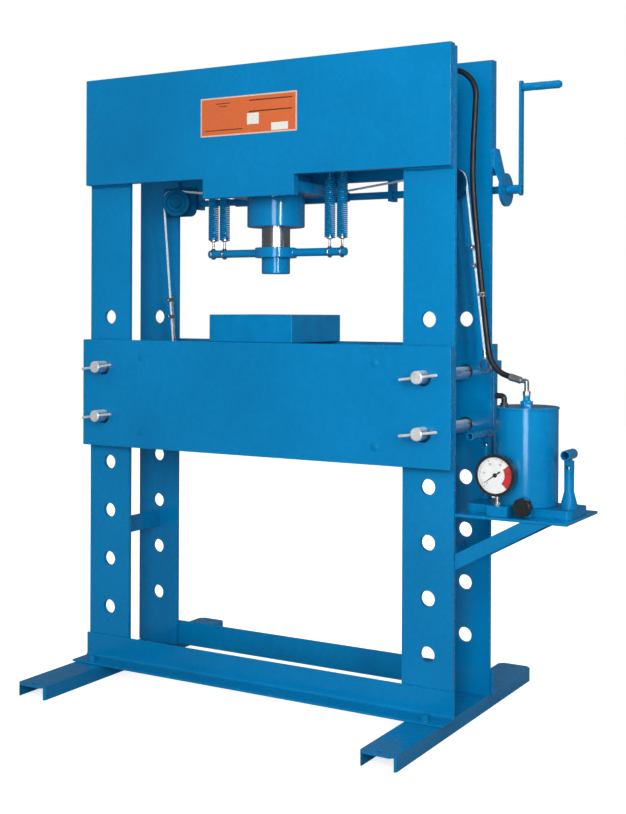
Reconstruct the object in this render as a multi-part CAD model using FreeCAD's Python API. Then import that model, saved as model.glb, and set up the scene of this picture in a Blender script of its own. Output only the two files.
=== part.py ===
"""Workshop press: four flat-bar columns, a head and a bed of paired plates, a ram with return
springs, a hand winch with two ropes for lifting the bed, and a hand pump on a side tray.

Millimetres. X runs along the width, Y from front to back, Z up. The origin is on the floor, in
the middle of the four floor anchor holes.
"""
import FreeCAD, Part
import math
import os

V = FreeCAD.Vector
X_AXIS = V(1, 0, 0)
Y_AXIS = V(0, 1, 0)
Z_AXIS = V(0, 0, 1)

# ---- frame -----------------------------------------------------------------------------------
frame_width = 1240.0        # over the outer edges of the columns
frame_depth = 262.0         # over the outer faces of the columns
total_height = 1838.0       # floor to the top of the head

column_width = 152.4        # flat bar
column_thick = 12.7
column_top_gap = 6.0        # the columns stop this far below the head's top edge
pin_hole_d = 43.0
pin_row_end = 734.0          # the head's top to the highest hole's centre
pin_hole_count = 7
lowest_pin_hole = 204.0     # height of its centre
pin_hole_pitch = (total_height - pin_row_end - lowest_pin_hole) / (pin_hole_count - 1)

foot_width = 101.6          # rolled channel, laid open side down
foot_height = 40.0
foot_length = 934.0
foot_web = 5.0
foot_flange = 6.0
foot_corner = 14.0          # corners cut off at each end
foot_inset = 56.0           # the columns' outer edges to the foot's centre
foot_centre_x = frame_width / 2 - foot_inset
anchor_hole_d = 16.0
anchor_inset = 24.0         # hole centre to the foot's end

sill_leg = 76.2             # rolled angle
sill_thick = 6.4
sill_over = 6.0             # a sill stands out of the columns at each end
sill_length = frame_width + 2 * sill_over
sill_root_r = 8.0

spacer_height = 52.0        # flat bars that tie each front column to the one behind it
spacer_thick = 10.0
spacer_low = 420.0

# ---- head ------------------------------------------------------------------------------------
head_short = 1.5            # at each end
head_width = frame_width - 2 * head_short
head_height = 326.0
head_thick = 28.6
tab_width = 312.0           # the deeper middle that carries the cylinder
tab_drop = 58.0
ram_x = -20.0               # the ram's line stands this far from the frame's middle

# ---- bed -------------------------------------------------------------------------------------
bed_over = 4.0              # at each end
bed_width = frame_width + 2 * bed_over
bed_height = 327.0
bed_thick = 28.6
bed_gap = 3.5               # between a bed plate and the columns
bed_pin_low = 91.0          # the bed's lower edge to its lower pin hole
bed_hole_index = 4          # the column hole, counted from 0 at the bottom, that takes the lower pin
bed_tie_d = 26.0            # round bars between the bed plates
bed_tie_from_edge = 222.0   # the columns' outer edges to the bars
bed_tie_x = frame_width / 2 - bed_tie_from_edge
bed_tie_inset = 50.0        # from the bed's lower and upper edges

block_side = 285.0
block_height = 80.0
block_edge_r = 3.0

pin_d = 36.0
pin_front = 45.0            # stands out of the front bed plate
pin_rear = 27.0
pin_nose = 4.0              # bevel at the rear end
rest_gap = 0.3              # where a round part lies in a larger hole
pull_rod_d = 8.0            # thin rod across the front end of each pin
pull_rod_length = 112.0
pull_rod_inset = 12.0
pull_rod_tilt = 8.0         # degrees

# ---- ram -------------------------------------------------------------------------------------
cylinder_d = 172.0
cylinder_bottom_drop = 464.0    # each drop is measured from the head's top
cylinder_top_drop = 138.0
cylinder_low = total_height - cylinder_bottom_drop
cylinder_high = total_height - cylinder_top_drop
cylinder_flange_d = 206.0
cylinder_flange_h = 22.0
seat_thick = 30.0           # plate across the head that the cylinder's flange rests on
seat_width = 300.0
seat_drop = 372.0
seat_low = total_height - seat_drop
seat_clearance = 0.2        # on the radius
rod_d = 85.0
rod_clearance = 0.05        # on the radius, in the cylinder
collar_d = 125.0
collar_h = 30.0
collar_drop = 555.0
nose_drop = 603.0
collar_low = total_height - collar_drop
nose_low = total_height - nose_drop
crossbar_d = 24.0
crossbar_half = 240.0
piston_room = 130.0         # rod length inside the cylinder

# ---- return springs --------------------------------------------------------------------------
spring_near = 185.0         # ram line to the inner spring of each pair
spring_far = 226.0
spring_od = 33.0
spring_wire = 9.0
spring_turns = 8
spring_bottom_drop = 501.0
spring_top_drop = 308.0
spring_low = total_height - spring_bottom_drop
spring_high = total_height - spring_top_drop
hook_ring_wall = 5.0
hook_ring_width = 7.0
hook_shank_d = 7.0
hook_plug_h = 16.0
hook_fit = 0.3              # between a hook's plug or ring and what it holds
hanger_drop = 248.0
hanger_low = total_height - hanger_drop
hanger_width = 82.0
hanger_depth = 36.0
hanger_thick = 14.0

# ---- winch -----------------------------------------------------------------------------------
shaft_d = 22.0
shaft_y = 177.0
shaft_drop = 365.3
shaft_short = 181.0         # the left columns' outer edge to the shaft's end
shaft_over = 70.6           # the shaft stands out of the right columns
shaft_z = total_height - shaft_drop
shaft_left = shaft_short - frame_width / 2
shaft_right = frame_width / 2 + shaft_over
bearing_clearance = 0.05    # on the radius
shaft_end = 16.0            # beyond the left bearing
hanger_left_x = shaft_left + shaft_end
hanger_right_x = 280.0
bearing_reach = 20.0        # beyond the shaft's centre
bearing_thick = 14.0
bearing_rise = 60.0         # how far a bearing overlaps the head plate
disc_out = 16.5             # outside the right columns
disc_x = frame_width / 2 + disc_out
disc_d = 95.0
disc_thick = 9.0
strap_top_drop = 251.0
strap_bottom_drop = 298.0
strap_high = total_height - strap_top_drop         # where the disc's strap leaves the head plate
strap_low = total_height - strap_bottom_drop
strap_thick = 10.0
hub_d = 26.0
hub_gap = 0.5               # between the hub and the disc
arm_thick = 8.0
arm_x = shaft_right - arm_thick
arm_width = 22.0
arm_below = 18.0            # shaft centre to the arm's lower end
arm_length = 307.0          # shaft centre to the arm's upper end
grip_drop = 19.0            # arm end to the grip's centre
grip_d = 23.0
grip_length = 110.0
grip_pin_d = 12.0
grip_cap_d = 18.0
grip_cap_h = 4.0
drum_d = 30.0
drum_length = 44.0          # the rope leaves this far from the far end, less half its own width

rope_d = 7.0
pulley_pitch_r = 38.0       # to the rope's centre
pulley_width = 16.0
pulley_rim = 5.0            # beyond the rope's centre
pulley_bore = 14.0
pulley_plate_thick = 8.0
pulley_plate_inset = 101.0  # the left columns' outer edge to the plate
pulley_plate_width = 126.0
pulley_plate_height = 94.0
pulley_plate_drop = 317.0
pulley_plate_corner = 22.0
left_pulley_inset = 184.4   # the columns' outer edges to the pulleys' centres
left_pulley_drop = 370.0
right_pulley_inset = 94.2
right_pulley_drop = 352.0
left_drum_from = 162.6      # each pulley's centre to where its rope leaves the shaft
right_drum_from = 402.8
rope_end_y = 60.0
left_rope_inset = 180.0     # the left columns' outer edge to the rope's lower end
right_rope_out = 8.5        # the right columns' outer edge to the rope's lower end
lug_width = 12.0
lug_height = 25.0
lug_drop = 71.6             # the bed's upper edge to the lug's lower side
lug_reach = 12.0            # beyond the rope, towards the front
eye_wall = 4.5
eye_width = 7.0
eye_play = 0.5              # between the lug's corners and the eye

# ---- pump ------------------------------------------------------------------------------------
tray_length = 310.0
tray_depth = 250.0
tray_top = 588.0
tray_thick = 8.0
brace_thick = 8.0
brace_height = 43.0         # measured upright, where it meets the column
brace_low = 437.0
brace_reach = 182.0         # from the column to where its upper edge meets the tray

base_inset = 6.0            # the columns' outer edge to the base
base_length = 296.0
base_left = frame_width / 2 + base_inset
base_right = base_left + base_length
base_depth = 136.0
base_height = 22.0
base_corner_r = 18.0

reservoir_out = 155.0       # the columns' outer edge to its centre
reservoir_x = frame_width / 2 + reservoir_out
reservoir_d = 166.0
reservoir_high = 866.0
lid_d = 171.0
lid_thick = 6.0
cap_off = 2.0               # these four are measured along X from the reservoir's centre
cap_x = reservoir_x - cap_off
cap_y = 0.0
cap_d = 30.0
cap_h = 14.0
cap_neck_d = 19.0
cap_neck_h = 16.0
breather_off = 63.0
breather_x = reservoir_x - breather_off
breather_y = -8.0
breather_d = 16.0
breather_h = 26.0
breather_reach = 24.0

gauge_off = 43.0
gauge_x = reservoir_x - gauge_off
gauge_y = -120.0            # the dial's face
gauge_z = 697.0
gauge_d = 111.0
gauge_depth = 34.0
dial_d = 99.0
dial_thick = 1.5
bezel_lip = 5.0
glass_thick = 2.0
needle_length = 38.0
needle_tail = 14.0
needle_width = 5.0
needle_thick = 1.0
needle_gap = 1.0
needle_angle = 215.0        # degrees from +X, seen from the front
stem_d = 12.0
gauge_block_w = 58.0
gauge_block_h = 29.0
gauge_block_d = 54.0

knob_off = 29.0
knob_x = reservoir_x + knob_off
knob_z = 617.0
knob_d = 50.0
knob_thick = 20.0
knob_stem_d = 14.0
knob_stem_gap = 4.0
valve_body = 34.0
valve_body_h = 46.0
valve_reach = 26.0          # how far the valve stands out of the base
block_gap = 2.0             # between these blocks and the reservoir

pump_from_end = 23.0        # the base's ends to the pumps' centres
pump_from_start = 16.0
# each pump: X, Y, height of the lever socket, socket front, socket back, tube, bore, barrel
right_pump = (base_right - pump_from_end, -20.0, 752.0, 32.0, 30.0, 27.0, 20.0, 26.0)
left_pump = (base_left + pump_from_start, 40.0, 790.0, 118.0, 26.0, 20.0, 15.0, 24.0)
pump_foot_d = 46.0
pump_foot_h = 46.0
pump_plunger_d = 12.0
pump_pivot_d = 8.0
pump_ear_r = 8.0
pump_ear_thick = 4.5
pump_ear_gap = 0.4
pump_lug_thick = 13.0
pump_lug_reach = 10.0       # pivot centre to the underside of the socket
pump_plunger_gap = 1.0

# ---- hose ------------------------------------------------------------------------------------
hose_d = 16.0
hose_sides = 8
hose_upper = [              # along the photographed line: X, Y, and the drop below the head's top
    (112, 0, 140), (250, -5, 130), (380, -5, 107), (480, -5, 68), (538, -5, 44),
    (577, -4, 48), (609, -3, 71), (625, -2, 106), (614, 0, 288), (615, 0, 378),
]
hose_lower = [              # X, Y, Z
    (627, 0, 1335), (644, 0, 1173), (668, 0, 991), (696, 0, 958), (738, 0, 946),
]
fitting_d = 21.0
fitting_length = 22.0
elbow_d = 13.0

# ---- worked out ------------------------------------------------------------------------------
column_x = (frame_width - column_width) / 2
column_face = frame_depth / 2
column_inner = column_face - column_thick
head_face = column_face + head_thick
head_low = total_height - head_height
bed_inner = column_face + bed_gap
bed_face = bed_inner + bed_thick
pin_drop = (pin_hole_d - pin_d) / 2 - rest_gap
lower_pin_z = lowest_pin_hole + bed_hole_index * pin_hole_pitch - pin_drop
pin_heights = (lower_pin_z, lower_pin_z + pin_hole_pitch)
bed_low = lower_pin_z - pin_drop - bed_pin_low
bed_high = bed_low + bed_height
lug_low = bed_high - lug_drop
block_top = bed_high + block_height
crossbar_z = collar_low + collar_h / 2
spring_xs = [ram_x + side * reach for side in (-1, 1) for reach in (spring_near, spring_far)]
spring_mean_r = (spring_od - spring_wire) / 2
tray_left = frame_width / 2
tray_right = tray_left + tray_length
plate_left = pulley_plate_inset - frame_width / 2
plate_high = total_height - pulley_plate_drop
left_pulley = (left_pulley_inset - frame_width / 2, total_height - left_pulley_drop)       # X, Z
right_pulley = (frame_width / 2 - right_pulley_inset, total_height - right_pulley_drop)
left_drum_x = left_pulley[0] + left_drum_from
right_drum_x = right_pulley[0] - right_drum_from
left_rope_end = (left_rope_inset - frame_width / 2, rope_end_y)       # X, Y, on the bed's lug
right_rope_end = (frame_width / 2 + right_rope_out, rope_end_y)
hose_route = [(x, y, total_height - drop) for x, y, drop in hose_upper] + hose_lower
base_top = tray_top + base_height


def box(x0, x1, y0, y1, z0, z1):
    return Part.makeBox(x1 - x0, y1 - y0, z1 - z0, V(x0, y0, z0))


def rod(start, axis, diameter, length):
    """A solid cylinder."""
    return Part.makeCylinder(diameter / 2, length, V(*start), axis)


def ring(start, axis, outer, inner, length):
    """A tube with open ends."""
    return rod(start, axis, outer, length).cut(rod(start, axis, inner, length))


def prism(points, vector):
    """A flat outline of straight edges, pushed along a vector."""
    corners = [V(*p) for p in points]
    return Part.Face(Part.makePolygon(corners + corners[:1])).extrude(vector)


def turned(profile, centre, axis=Z_AXIS):
    """Revolves (radius, height) points about an axis through centre."""
    corners = [V(r, 0, h) for r, h in profile]
    solid = Part.Face(Part.makePolygon(corners + corners[:1])).revolve(V(0, 0, 0), Z_AXIS, 360)
    solid.Placement = FreeCAD.Placement(V(*centre), FreeCAD.Rotation(Z_AXIS, axis))
    return solid


def hexagon(centre, across_flats, height):
    """A hexagonal prism standing on centre."""
    r = across_flats / math.sqrt(3)
    x, y, z = centre
    turn = [math.radians(60 * i) for i in range(6)]
    return prism([(x + r * math.cos(a), y + r * math.sin(a), z) for a in turn], V(0, 0, height))


def mirrored_y(shape):
    return shape.mirror(V(0, 0, 0), Y_AXIS)


# ---- cords and coils -------------------------------------------------------------------------
def arc_from_tangent(start, tangent, end):
    """The arc that leaves start along tangent and reaches end."""
    chord = end - start
    along = V(chord).normalize()
    side = tangent - along * tangent.dot(along)
    side.normalize()
    half_turn = math.acos(max(-1.0, min(1.0, tangent.dot(along))))
    middle = start + chord * 0.5 + side * (chord.Length / 2 * math.tan(half_turn / 2))
    return Part.Arc(start, middle, end).toShape()


def biarc(p0, t0, p1, t1):
    """Two arcs that meet smoothly, from p0 along t0 to p1 along t1."""
    span = p1 - p0
    spread = 2 * (1 - t0.dot(t1))
    along = span.dot(t0 + t1)
    reach = (math.sqrt(along ** 2 + spread * span.dot(span)) - along) / spread
    joint = (p0 + p1 + (t0 - t1) * reach) * 0.5
    first = arc_from_tangent(p0, t0, joint)
    second = arc_from_tangent(p1, t1 * -1, joint)
    return [first, second]


def polygon_bar(start, axis, diameter, sides, length):
    """A bar of regular polygon section, drawn inside the diameter."""
    section = polygon_section(V(*start), axis, diameter / 2, sides)
    return Part.Face(section).extrude(V(axis) * length)


def polygon_section(centre, direction, radius, sides):
    """A regular polygon square to a direction."""
    turn = FreeCAD.Rotation(Z_AXIS, direction)
    corners = []
    for i in range(sides):
        angle = 2 * math.pi * i / sides
        corners.append(centre + turn.multVec(V(radius * math.cos(angle), radius * math.sin(angle), 0)))
    return Part.makePolygon(corners + corners[:1])


def coil(centre_x, low, high):
    """One spring wire, wound round an upright line, of square section set on its corner."""
    rise = (high - low - spring_wire) / spring_turns
    slope = rise / (2 * math.pi * spring_mean_r)

    def place(turn):
        a = 2 * math.pi * turn
        point = V(centre_x + spring_mean_r * math.cos(a), spring_mean_r * math.sin(a),
                  low + spring_wire / 2 + rise * turn)
        direction = V(-math.sin(a), math.cos(a), slope)
        return point, direction.normalize()

    edges = []
    for i in range(2 * spring_turns):
        edges += biarc(*place(i / 2), *place((i + 1) / 2))
    start, direction = place(0)
    section = polygon_section(start, direction, spring_wire / 2, 4)
    return Part.Wire(edges).makePipeShell([section], True, False)


def coil_gap():
    """Least distance from a spring's wire to its own next turn, measured on points."""
    rise = (spring_high - spring_low - spring_wire) / spring_turns
    steps = 72
    points = [(spring_mean_r * math.cos(2 * math.pi * i / steps),
               spring_mean_r * math.sin(2 * math.pi * i / steps),
               rise * i / steps) for i in range(2 * steps)]
    nearest = min(math.dist(points[i], points[j])
                  for i in range(steps) for j in range(i + steps // 2, 2 * steps))
    return nearest - spring_wire


def cord_path(points, share=0.45):
    """Straight runs joined by arcs; each arc's radius is a share of its shorter run."""
    points = [V(*p) for p in points]
    edges, radii = [], []
    here = points[0]
    for before, corner, after in zip(points, points[1:], points[2:]):
        run_in, run_out = corner - before, after - corner
        reach = share * min(run_in.Length, run_out.Length)
        turn = run_in.getAngle(run_out)
        radii.append(reach / math.tan(turn / 2))
        start = corner - V(run_in).normalize() * reach
        end = corner + V(run_out).normalize() * reach
        edges.append(Part.makeLine(here, start))
        edges.append(arc_from_tangent(start, V(run_in).normalize(), end))
        here = end
    edges.append(Part.makeLine(here, points[-1]))
    return Part.Wire(edges), radii


def tube_along(wire, start, direction, diameter, sides):
    section = polygon_section(start, direction, diameter / 2, sides)
    return wire.makePipeShell([section], True, False)


def check_length(name, solid, wire, diameter, sides):
    """Prints a cord's volume against its section times its length."""
    section = sides / 2 * (diameter / 2) ** 2 * math.sin(2 * math.pi / sides)
    print(f"{name}: volume / (section x length) = {solid.Volume / (section * wire.Length):.4f}")


# ---- frame -----------------------------------------------------------------------------------
def column(side, face):
    """A flat bar with its row of pin holes. face is -1 at the front, 1 at the rear."""
    x = side * column_x
    y0, y1 = sorted((face * column_face, face * column_inner))
    bar = box(x - column_width / 2, x + column_width / 2, y0, y1,
              foot_height, total_height - column_top_gap)
    for i in range(pin_hole_count):
        z = lowest_pin_hole + i * pin_hole_pitch
        bar = bar.cut(rod((x, y0 - 1, z), Y_AXIS, pin_hole_d, column_thick + 2))
    return bar


def column_spacer(side):
    x = side * column_x
    return box(x - spacer_thick / 2, x + spacer_thick / 2, -column_inner, column_inner,
               spacer_low, spacer_low + spacer_height)


def sill():
    """The front angle: one leg up against the columns, one out over the feet."""
    back = -column_face
    out = back - sill_leg
    low = foot_height
    high = low + sill_leg
    thick = sill_thick
    half = sill_length / 2
    root_y, root_z = back - thick - sill_root_r, low + thick + sill_root_r
    bend = math.sqrt(0.5) * sill_root_r
    outline = [
        Part.makeLine(V(-half, back, low), V(-half, back, high)),
        Part.makeLine(V(-half, back, high), V(-half, back - thick, high)),
        Part.makeLine(V(-half, back - thick, high), V(-half, back - thick, root_z)),
        Part.Arc(V(-half, back - thick, root_z), V(-half, root_y + bend, root_z - bend),
                 V(-half, root_y, low + thick)).toShape(),
        Part.makeLine(V(-half, root_y, low + thick), V(-half, out, low + thick)),
        Part.makeLine(V(-half, out, low + thick), V(-half, out, low)),
        Part.makeLine(V(-half, out, low), V(-half, back, low)),
    ]
    return Part.Face(Part.Wire(outline)).extrude(V(sill_length, 0, 0))


def foot(side):
    """An inverted channel with its corners cut off and a hole near each end."""
    x0 = side * foot_centre_x - foot_width / 2
    x1 = x0 + foot_width
    half = foot_length / 2
    cut = foot_corner
    plan = [(x0 + cut, -half, 0), (x1 - cut, -half, 0), (x1, -half + cut, 0), (x1, half - cut, 0),
            (x1 - cut, half, 0), (x0 + cut, half, 0), (x0, half - cut, 0), (x0, -half + cut, 0)]
    solid = prism(plan, V(0, 0, foot_height))
    hollow = box(x0 + foot_flange, x1 - foot_flange, -half - 1, half + 1, -1, foot_height - foot_web)
    solid = solid.cut(hollow)
    for end in (-1, 1):
        solid = solid.cut(rod((side * foot_centre_x, end * (half - anchor_inset),
                               foot_height - foot_web - 1), Z_AXIS, anchor_hole_d, foot_web + 2))
    return solid


# ---- head ------------------------------------------------------------------------------------
def head_plate():
    """The front plate, with the deeper middle that covers the cylinder's seat."""
    half = head_width / 2
    x0, x1 = ram_x - tab_width / 2, ram_x + tab_width / 2
    y = -head_face
    tab_low = head_low - tab_drop
    outline = [(-half, y, total_height), (-half, y, head_low), (x0, y, head_low), (x0, y, tab_low),
               (x1, y, tab_low), (x1, y, head_low), (half, y, head_low), (half, y, total_height)]
    return prism(outline, V(0, head_thick, 0))


def cylinder_seat():
    plate = box(ram_x - seat_width / 2, ram_x + seat_width / 2, -column_face, column_face,
                seat_low, seat_low + seat_thick)
    bore = rod((ram_x, 0, seat_low - 1), Z_AXIS, cylinder_d + 2 * seat_clearance, seat_thick + 2)
    return plate.cut(bore)


def spring_hangers():
    """A crosswise bar between the head plates for each pair of springs, drilled for the hooks."""
    bars = []
    high = hanger_low + hanger_thick
    for side in (-1, 1):
        x = ram_x + side * (spring_near + spring_far) / 2
        bar = box(x - hanger_width / 2, x + hanger_width / 2, -hanger_depth / 2, hanger_depth / 2,
                  hanger_low, high)
        bar = bar.fuse([box(x - hanger_depth / 2, x + hanger_depth / 2, -column_face, column_face,
                            hanger_low, high)]).removeSplitter()
        for reach in (spring_near, spring_far):
            hole = rod((ram_x + side * reach, 0, hanger_low - 1), Z_AXIS, hook_shank_d + 2 * hook_fit,
                       hanger_thick + 2)
            bar = bar.cut(hole)
        bars.append(bar)
    return bars


# ---- bed -------------------------------------------------------------------------------------
def bed_tie_places():
    return [(side * bed_tie_x, z) for side in (-1, 1)
            for z in (bed_low + bed_tie_inset, bed_high - bed_tie_inset)]


def bed_plate():
    """The front plate, with its four pin holes."""
    half = bed_width / 2
    plate = box(-half, half, -bed_face, -bed_inner, bed_low, bed_high)
    holes = [(side * column_x, bed_low + bed_pin_low + i * pin_hole_pitch, pin_hole_d)
             for side in (-1, 1) for i in (0, 1)]
    for x, z, d in holes:
        plate = plate.cut(rod((x, -bed_face - 1, z), Y_AXIS, d, bed_thick + 2))
    return plate


def bed_ties():
    return [rod((x, -bed_inner, z), Y_AXIS, bed_tie_d, 2 * bed_inner) for x, z in bed_tie_places()]


def press_block():
    half = block_side / 2
    block = box(ram_x - half, ram_x + half, -half, half, bed_high, block_top)
    upright = [e for e in block.Edges if abs(e.tangentAt(e.FirstParameter).z) > 0.9]
    return block.makeFillet(block_edge_r, upright)


def lock_pin(side, z):
    """A round pin through both bed plates and both columns, its rear end bevelled."""
    front = -bed_face - pin_front
    length = 2 * bed_face + pin_front + pin_rear
    r = pin_d / 2
    body = turned([(0, 0), (r, 0), (r, length - pin_nose), (r - pin_nose, length), (0, length)],
                  (side * column_x, front, z), Y_AXIS)
    return body.cut(pull_rod(side, z, 0.0))


def pull_rod(side, z, shrink=0.05):
    """The thin rod that crosses the pin's front end, a little off level."""
    tilt = math.radians(pull_rod_tilt)
    along = V(math.cos(tilt), 0, math.sin(tilt))
    middle = V(side * column_x, -bed_face - pin_front + pull_rod_inset, z)
    start = middle - along * (pull_rod_length / 2)
    return Part.makeCylinder(pull_rod_d / 2 - shrink, pull_rod_length, start, along)


# ---- ram -------------------------------------------------------------------------------------
def cylinder_body():
    """The barrel, with the flange that rests on the seat and a bore for the rod."""
    seat_high = seat_low + seat_thick
    r, flange_r = cylinder_d / 2, cylinder_flange_d / 2
    bore_r = rod_d / 2 + rod_clearance
    roof = cylinder_low + piston_room + 10
    return turned([
        (bore_r, cylinder_low), (r, cylinder_low), (r, seat_high),
        (flange_r, seat_high), (flange_r, seat_high + cylinder_flange_h),
        (r, seat_high + cylinder_flange_h), (r, cylinder_high), (0, cylinder_high), (0, roof),
        (bore_r, roof)], (ram_x, 0, 0))


def piston_rod():
    return rod((ram_x, 0, collar_low), Z_AXIS, rod_d, cylinder_low + piston_room - collar_low)


def return_crossbar():
    """A collar round the rod's end with a round arm each way for the springs."""
    collar = ring((ram_x, 0, collar_low), Z_AXIS, collar_d, rod_d, collar_h)
    bar = rod((ram_x - crossbar_half, 0, crossbar_z), X_AXIS, crossbar_d, 2 * crossbar_half)
    bar = bar.cut(rod((ram_x, 0, collar_low), Z_AXIS, collar_d - 8, collar_h))
    return collar.fuse([bar]).removeSplitter()


def ram_nose():
    return rod((ram_x, 0, nose_low), Z_AXIS, rod_d, collar_low - nose_low)


def spring_hooks_lower():
    """Rings round the crossbar, each with a shank up to a plug in the spring's end."""
    hooks = []
    inner = crossbar_d / 2 + hook_fit
    outer = inner + hook_ring_wall
    plug_r = spring_mean_r - spring_wire / 2 - hook_fit
    for x in spring_xs:
        start = (x - hook_ring_width / 2, 0, crossbar_z)
        eye = polygon_bar(start, X_AXIS, 2 * outer, 12, hook_ring_width)
        eye = eye.cut(polygon_bar(start, X_AXIS, 2 * inner / math.cos(math.pi / 12), 12,
                                  hook_ring_width))
        foot_z = crossbar_z + inner + 1.5
        shank = polygon_bar((x, 0, foot_z), Z_AXIS, hook_shank_d, 8, spring_low - foot_z)
        plug = polygon_bar((x, 0, spring_low), Z_AXIS, 2 * plug_r, 8, hook_plug_h)
        hooks.append(eye.fuse([shank, plug]).removeSplitter())
    return hooks


def spring_hooks_upper():
    """Shanks that hang each spring from its hanger, held by a nut on top."""
    hooks = []
    plug_r = spring_mean_r - spring_wire / 2 - hook_fit
    nut_low = hanger_low + hanger_thick
    for x in spring_xs:
        plug = polygon_bar((x, 0, spring_high - hook_plug_h), Z_AXIS, 2 * plug_r, 8, hook_plug_h)
        shank = polygon_bar((x, 0, spring_high), Z_AXIS, hook_shank_d, 8, nut_low - spring_high)
        nut = hexagon((x, 0, nut_low), 2 * hook_shank_d, hook_shank_d)
        hooks.append(plug.fuse([shank, nut]).removeSplitter())
    return hooks


# ---- winch -----------------------------------------------------------------------------------
def winch_shaft():
    return rod((shaft_left, shaft_y, shaft_z), X_AXIS, shaft_d, shaft_right - shaft_left)


def bearing_hanger(x):
    """A block on the rear face of the rear head plate with the shaft's bore."""
    block = box(x - bearing_thick / 2, x + bearing_thick / 2, head_face, shaft_y + bearing_reach,
                shaft_z - bearing_reach, head_low + bearing_rise)
    bore = rod((x - bearing_thick, shaft_y, shaft_z), X_AXIS, shaft_d + 2 * bearing_clearance,
               2 * bearing_thick)
    return block.cut(bore)


def bearing_disc():
    """The round bearing plate outside the frame, on a strap bent out from the rear head plate."""
    disc = rod((disc_x, shaft_y, shaft_z), X_AXIS, disc_d, disc_thick)
    edge = head_width / 2
    top = shaft_z + disc_d / 2
    y0 = head_face - head_thick
    strap = prism([(edge, y0, strap_high), (edge, y0, strap_low), (disc_x, y0, top - 26),
                   (disc_x + disc_thick, y0, top - 26), (disc_x + disc_thick, y0, top - 4),
                   (edge + strap_thick, y0, strap_high)], V(0, head_thick, 0))
    bore = rod((disc_x - 20, shaft_y, shaft_z), X_AXIS, shaft_d + 2 * bearing_clearance, 60)
    return disc.fuse([strap]).removeSplitter().cut(bore)


def crank_arm():
    """A hub on the shaft's end and the flat arm, drilled for the grip's pin."""
    hub_left = disc_x + disc_thick + hub_gap
    hub = ring((hub_left, shaft_y, shaft_z), X_AXIS, hub_d, shaft_d, arm_x - hub_left)
    y0 = shaft_y - arm_width / 2
    low = shaft_z - arm_below
    arm = box(arm_x, arm_x + arm_thick, y0, y0 + arm_width, low, shaft_z + arm_length)
    across = [e for e in arm.Edges if abs(e.tangentAt(e.FirstParameter).x) > 0.9]
    arm = arm.makeFillet(arm_width * 0.3, across)
    arm = arm.cut(rod((arm_x - 1, shaft_y, shaft_z), X_AXIS, shaft_d, arm_thick + 2))
    grip_z = shaft_z + arm_length - grip_drop
    pin = rod((arm_x, shaft_y, grip_z), X_AXIS, grip_pin_d, arm_thick + grip_length + hub_gap)
    cap = rod((arm_x + arm_thick + grip_length + hub_gap, shaft_y, grip_z), X_AXIS, grip_cap_d,
              grip_cap_h)
    return hub.fuse([arm, pin, cap]).removeSplitter()


def crank_grip():
    grip_z = shaft_z + arm_length - grip_drop
    start = (arm_x + arm_thick + hub_gap / 2, shaft_y, grip_z)
    return ring(start, X_AXIS, grip_d, grip_pin_d + 2 * bearing_clearance, grip_length)


def winch_drums():
    """Sleeves on the shaft that the ropes wind on."""
    drums = []
    for x, inward in ((left_drum_x, 1), (right_drum_x, -1)):
        ends = sorted((x - inward * rope_d, x + inward * drum_length))
        drums.append(ring((ends[0], shaft_y, shaft_z), X_AXIS, drum_d, shaft_d + 2 * bearing_clearance,
                          ends[1] - ends[0]))
    return drums


class Rope:
    """A rope's line: from its drum up to the guide pulley, over it, and down to the bed's lug.

    It lies in one upright plane; s is the distance along that plane from the drum.
    """

    def __init__(self, drum_x, pulley, end):
        self.start = V(drum_x, shaft_y, 0)
        level = V(end[0], end[1], 0) - self.start
        self.along = V(level).normalize()
        self.normal = V(-self.along.y, self.along.x, 0)
        if self.normal.y < 0:
            self.normal = self.normal * -1
        self.drum_z = shaft_z + drum_d / 2 + rope_d / 2 + rest_gap
        self.pulley_s = (pulley[0] - drum_x) / self.along.x
        self.pulley_z = pulley[1]
        self.end_s = level.Length
        self.eye_z = lug_low + lug_height / 2
        self.end_z = self.eye_z + self.eye_radius() + eye_wall / 2 + rest_gap

    @staticmethod
    def eye_radius():
        return math.hypot(lug_width, lug_height) / 2 + eye_play + eye_wall / 2

    def at(self, s, z):
        return self.start + self.along * s + V(0, 0, z)

    def pulley_centre(self):
        return self.at(self.pulley_s, self.pulley_z)

    def tangent_angle(self, s, z, side):
        """Angle on the pulley of the touching point of the line to (s, z)."""
        ds, dz = s - self.pulley_s, z - self.pulley_z
        return math.atan2(dz, ds) + side * math.acos(pulley_pitch_r / math.hypot(ds, dz))

    def on_pulley(self, angle):
        return self.at(self.pulley_s + pulley_pitch_r * math.cos(angle),
                       self.pulley_z + pulley_pitch_r * math.sin(angle))

    def path(self):
        first = self.tangent_angle(0, self.drum_z, -1)
        last = self.tangent_angle(self.end_s, self.end_z, 1)
        first %= 2 * math.pi
        start, end = self.at(0, self.drum_z), self.at(self.end_s, self.end_z)
        touch, leave = self.on_pulley(first), self.on_pulley(last)
        over = Part.Arc(touch, self.on_pulley((first + last) / 2), leave).toShape()
        wire = Part.Wire([Part.makeLine(start, touch), over, Part.makeLine(leave, end)])
        return wire, start, (touch - start).normalize()


def rope(line):
    wire, start, direction = line.path()
    solid = tube_along(wire, start, direction, rope_d, 6)
    check_length("rope", solid, wire, rope_d, 6)
    return solid


def guide_pulley(line):
    """A grooved wheel in the rope's plane."""
    groove = pulley_pitch_r - rope_d / 2 - rest_gap
    rim = pulley_pitch_r + pulley_rim
    half = pulley_width / 2
    bore = pulley_bore / 2 + bearing_clearance
    flat = rope_d * 0.35
    return turned([(bore, -half), (rim, -half), (groove, -flat), (groove, flat), (rim, half),
                   (bore, half)], line.pulley_centre(), line.normal)


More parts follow.
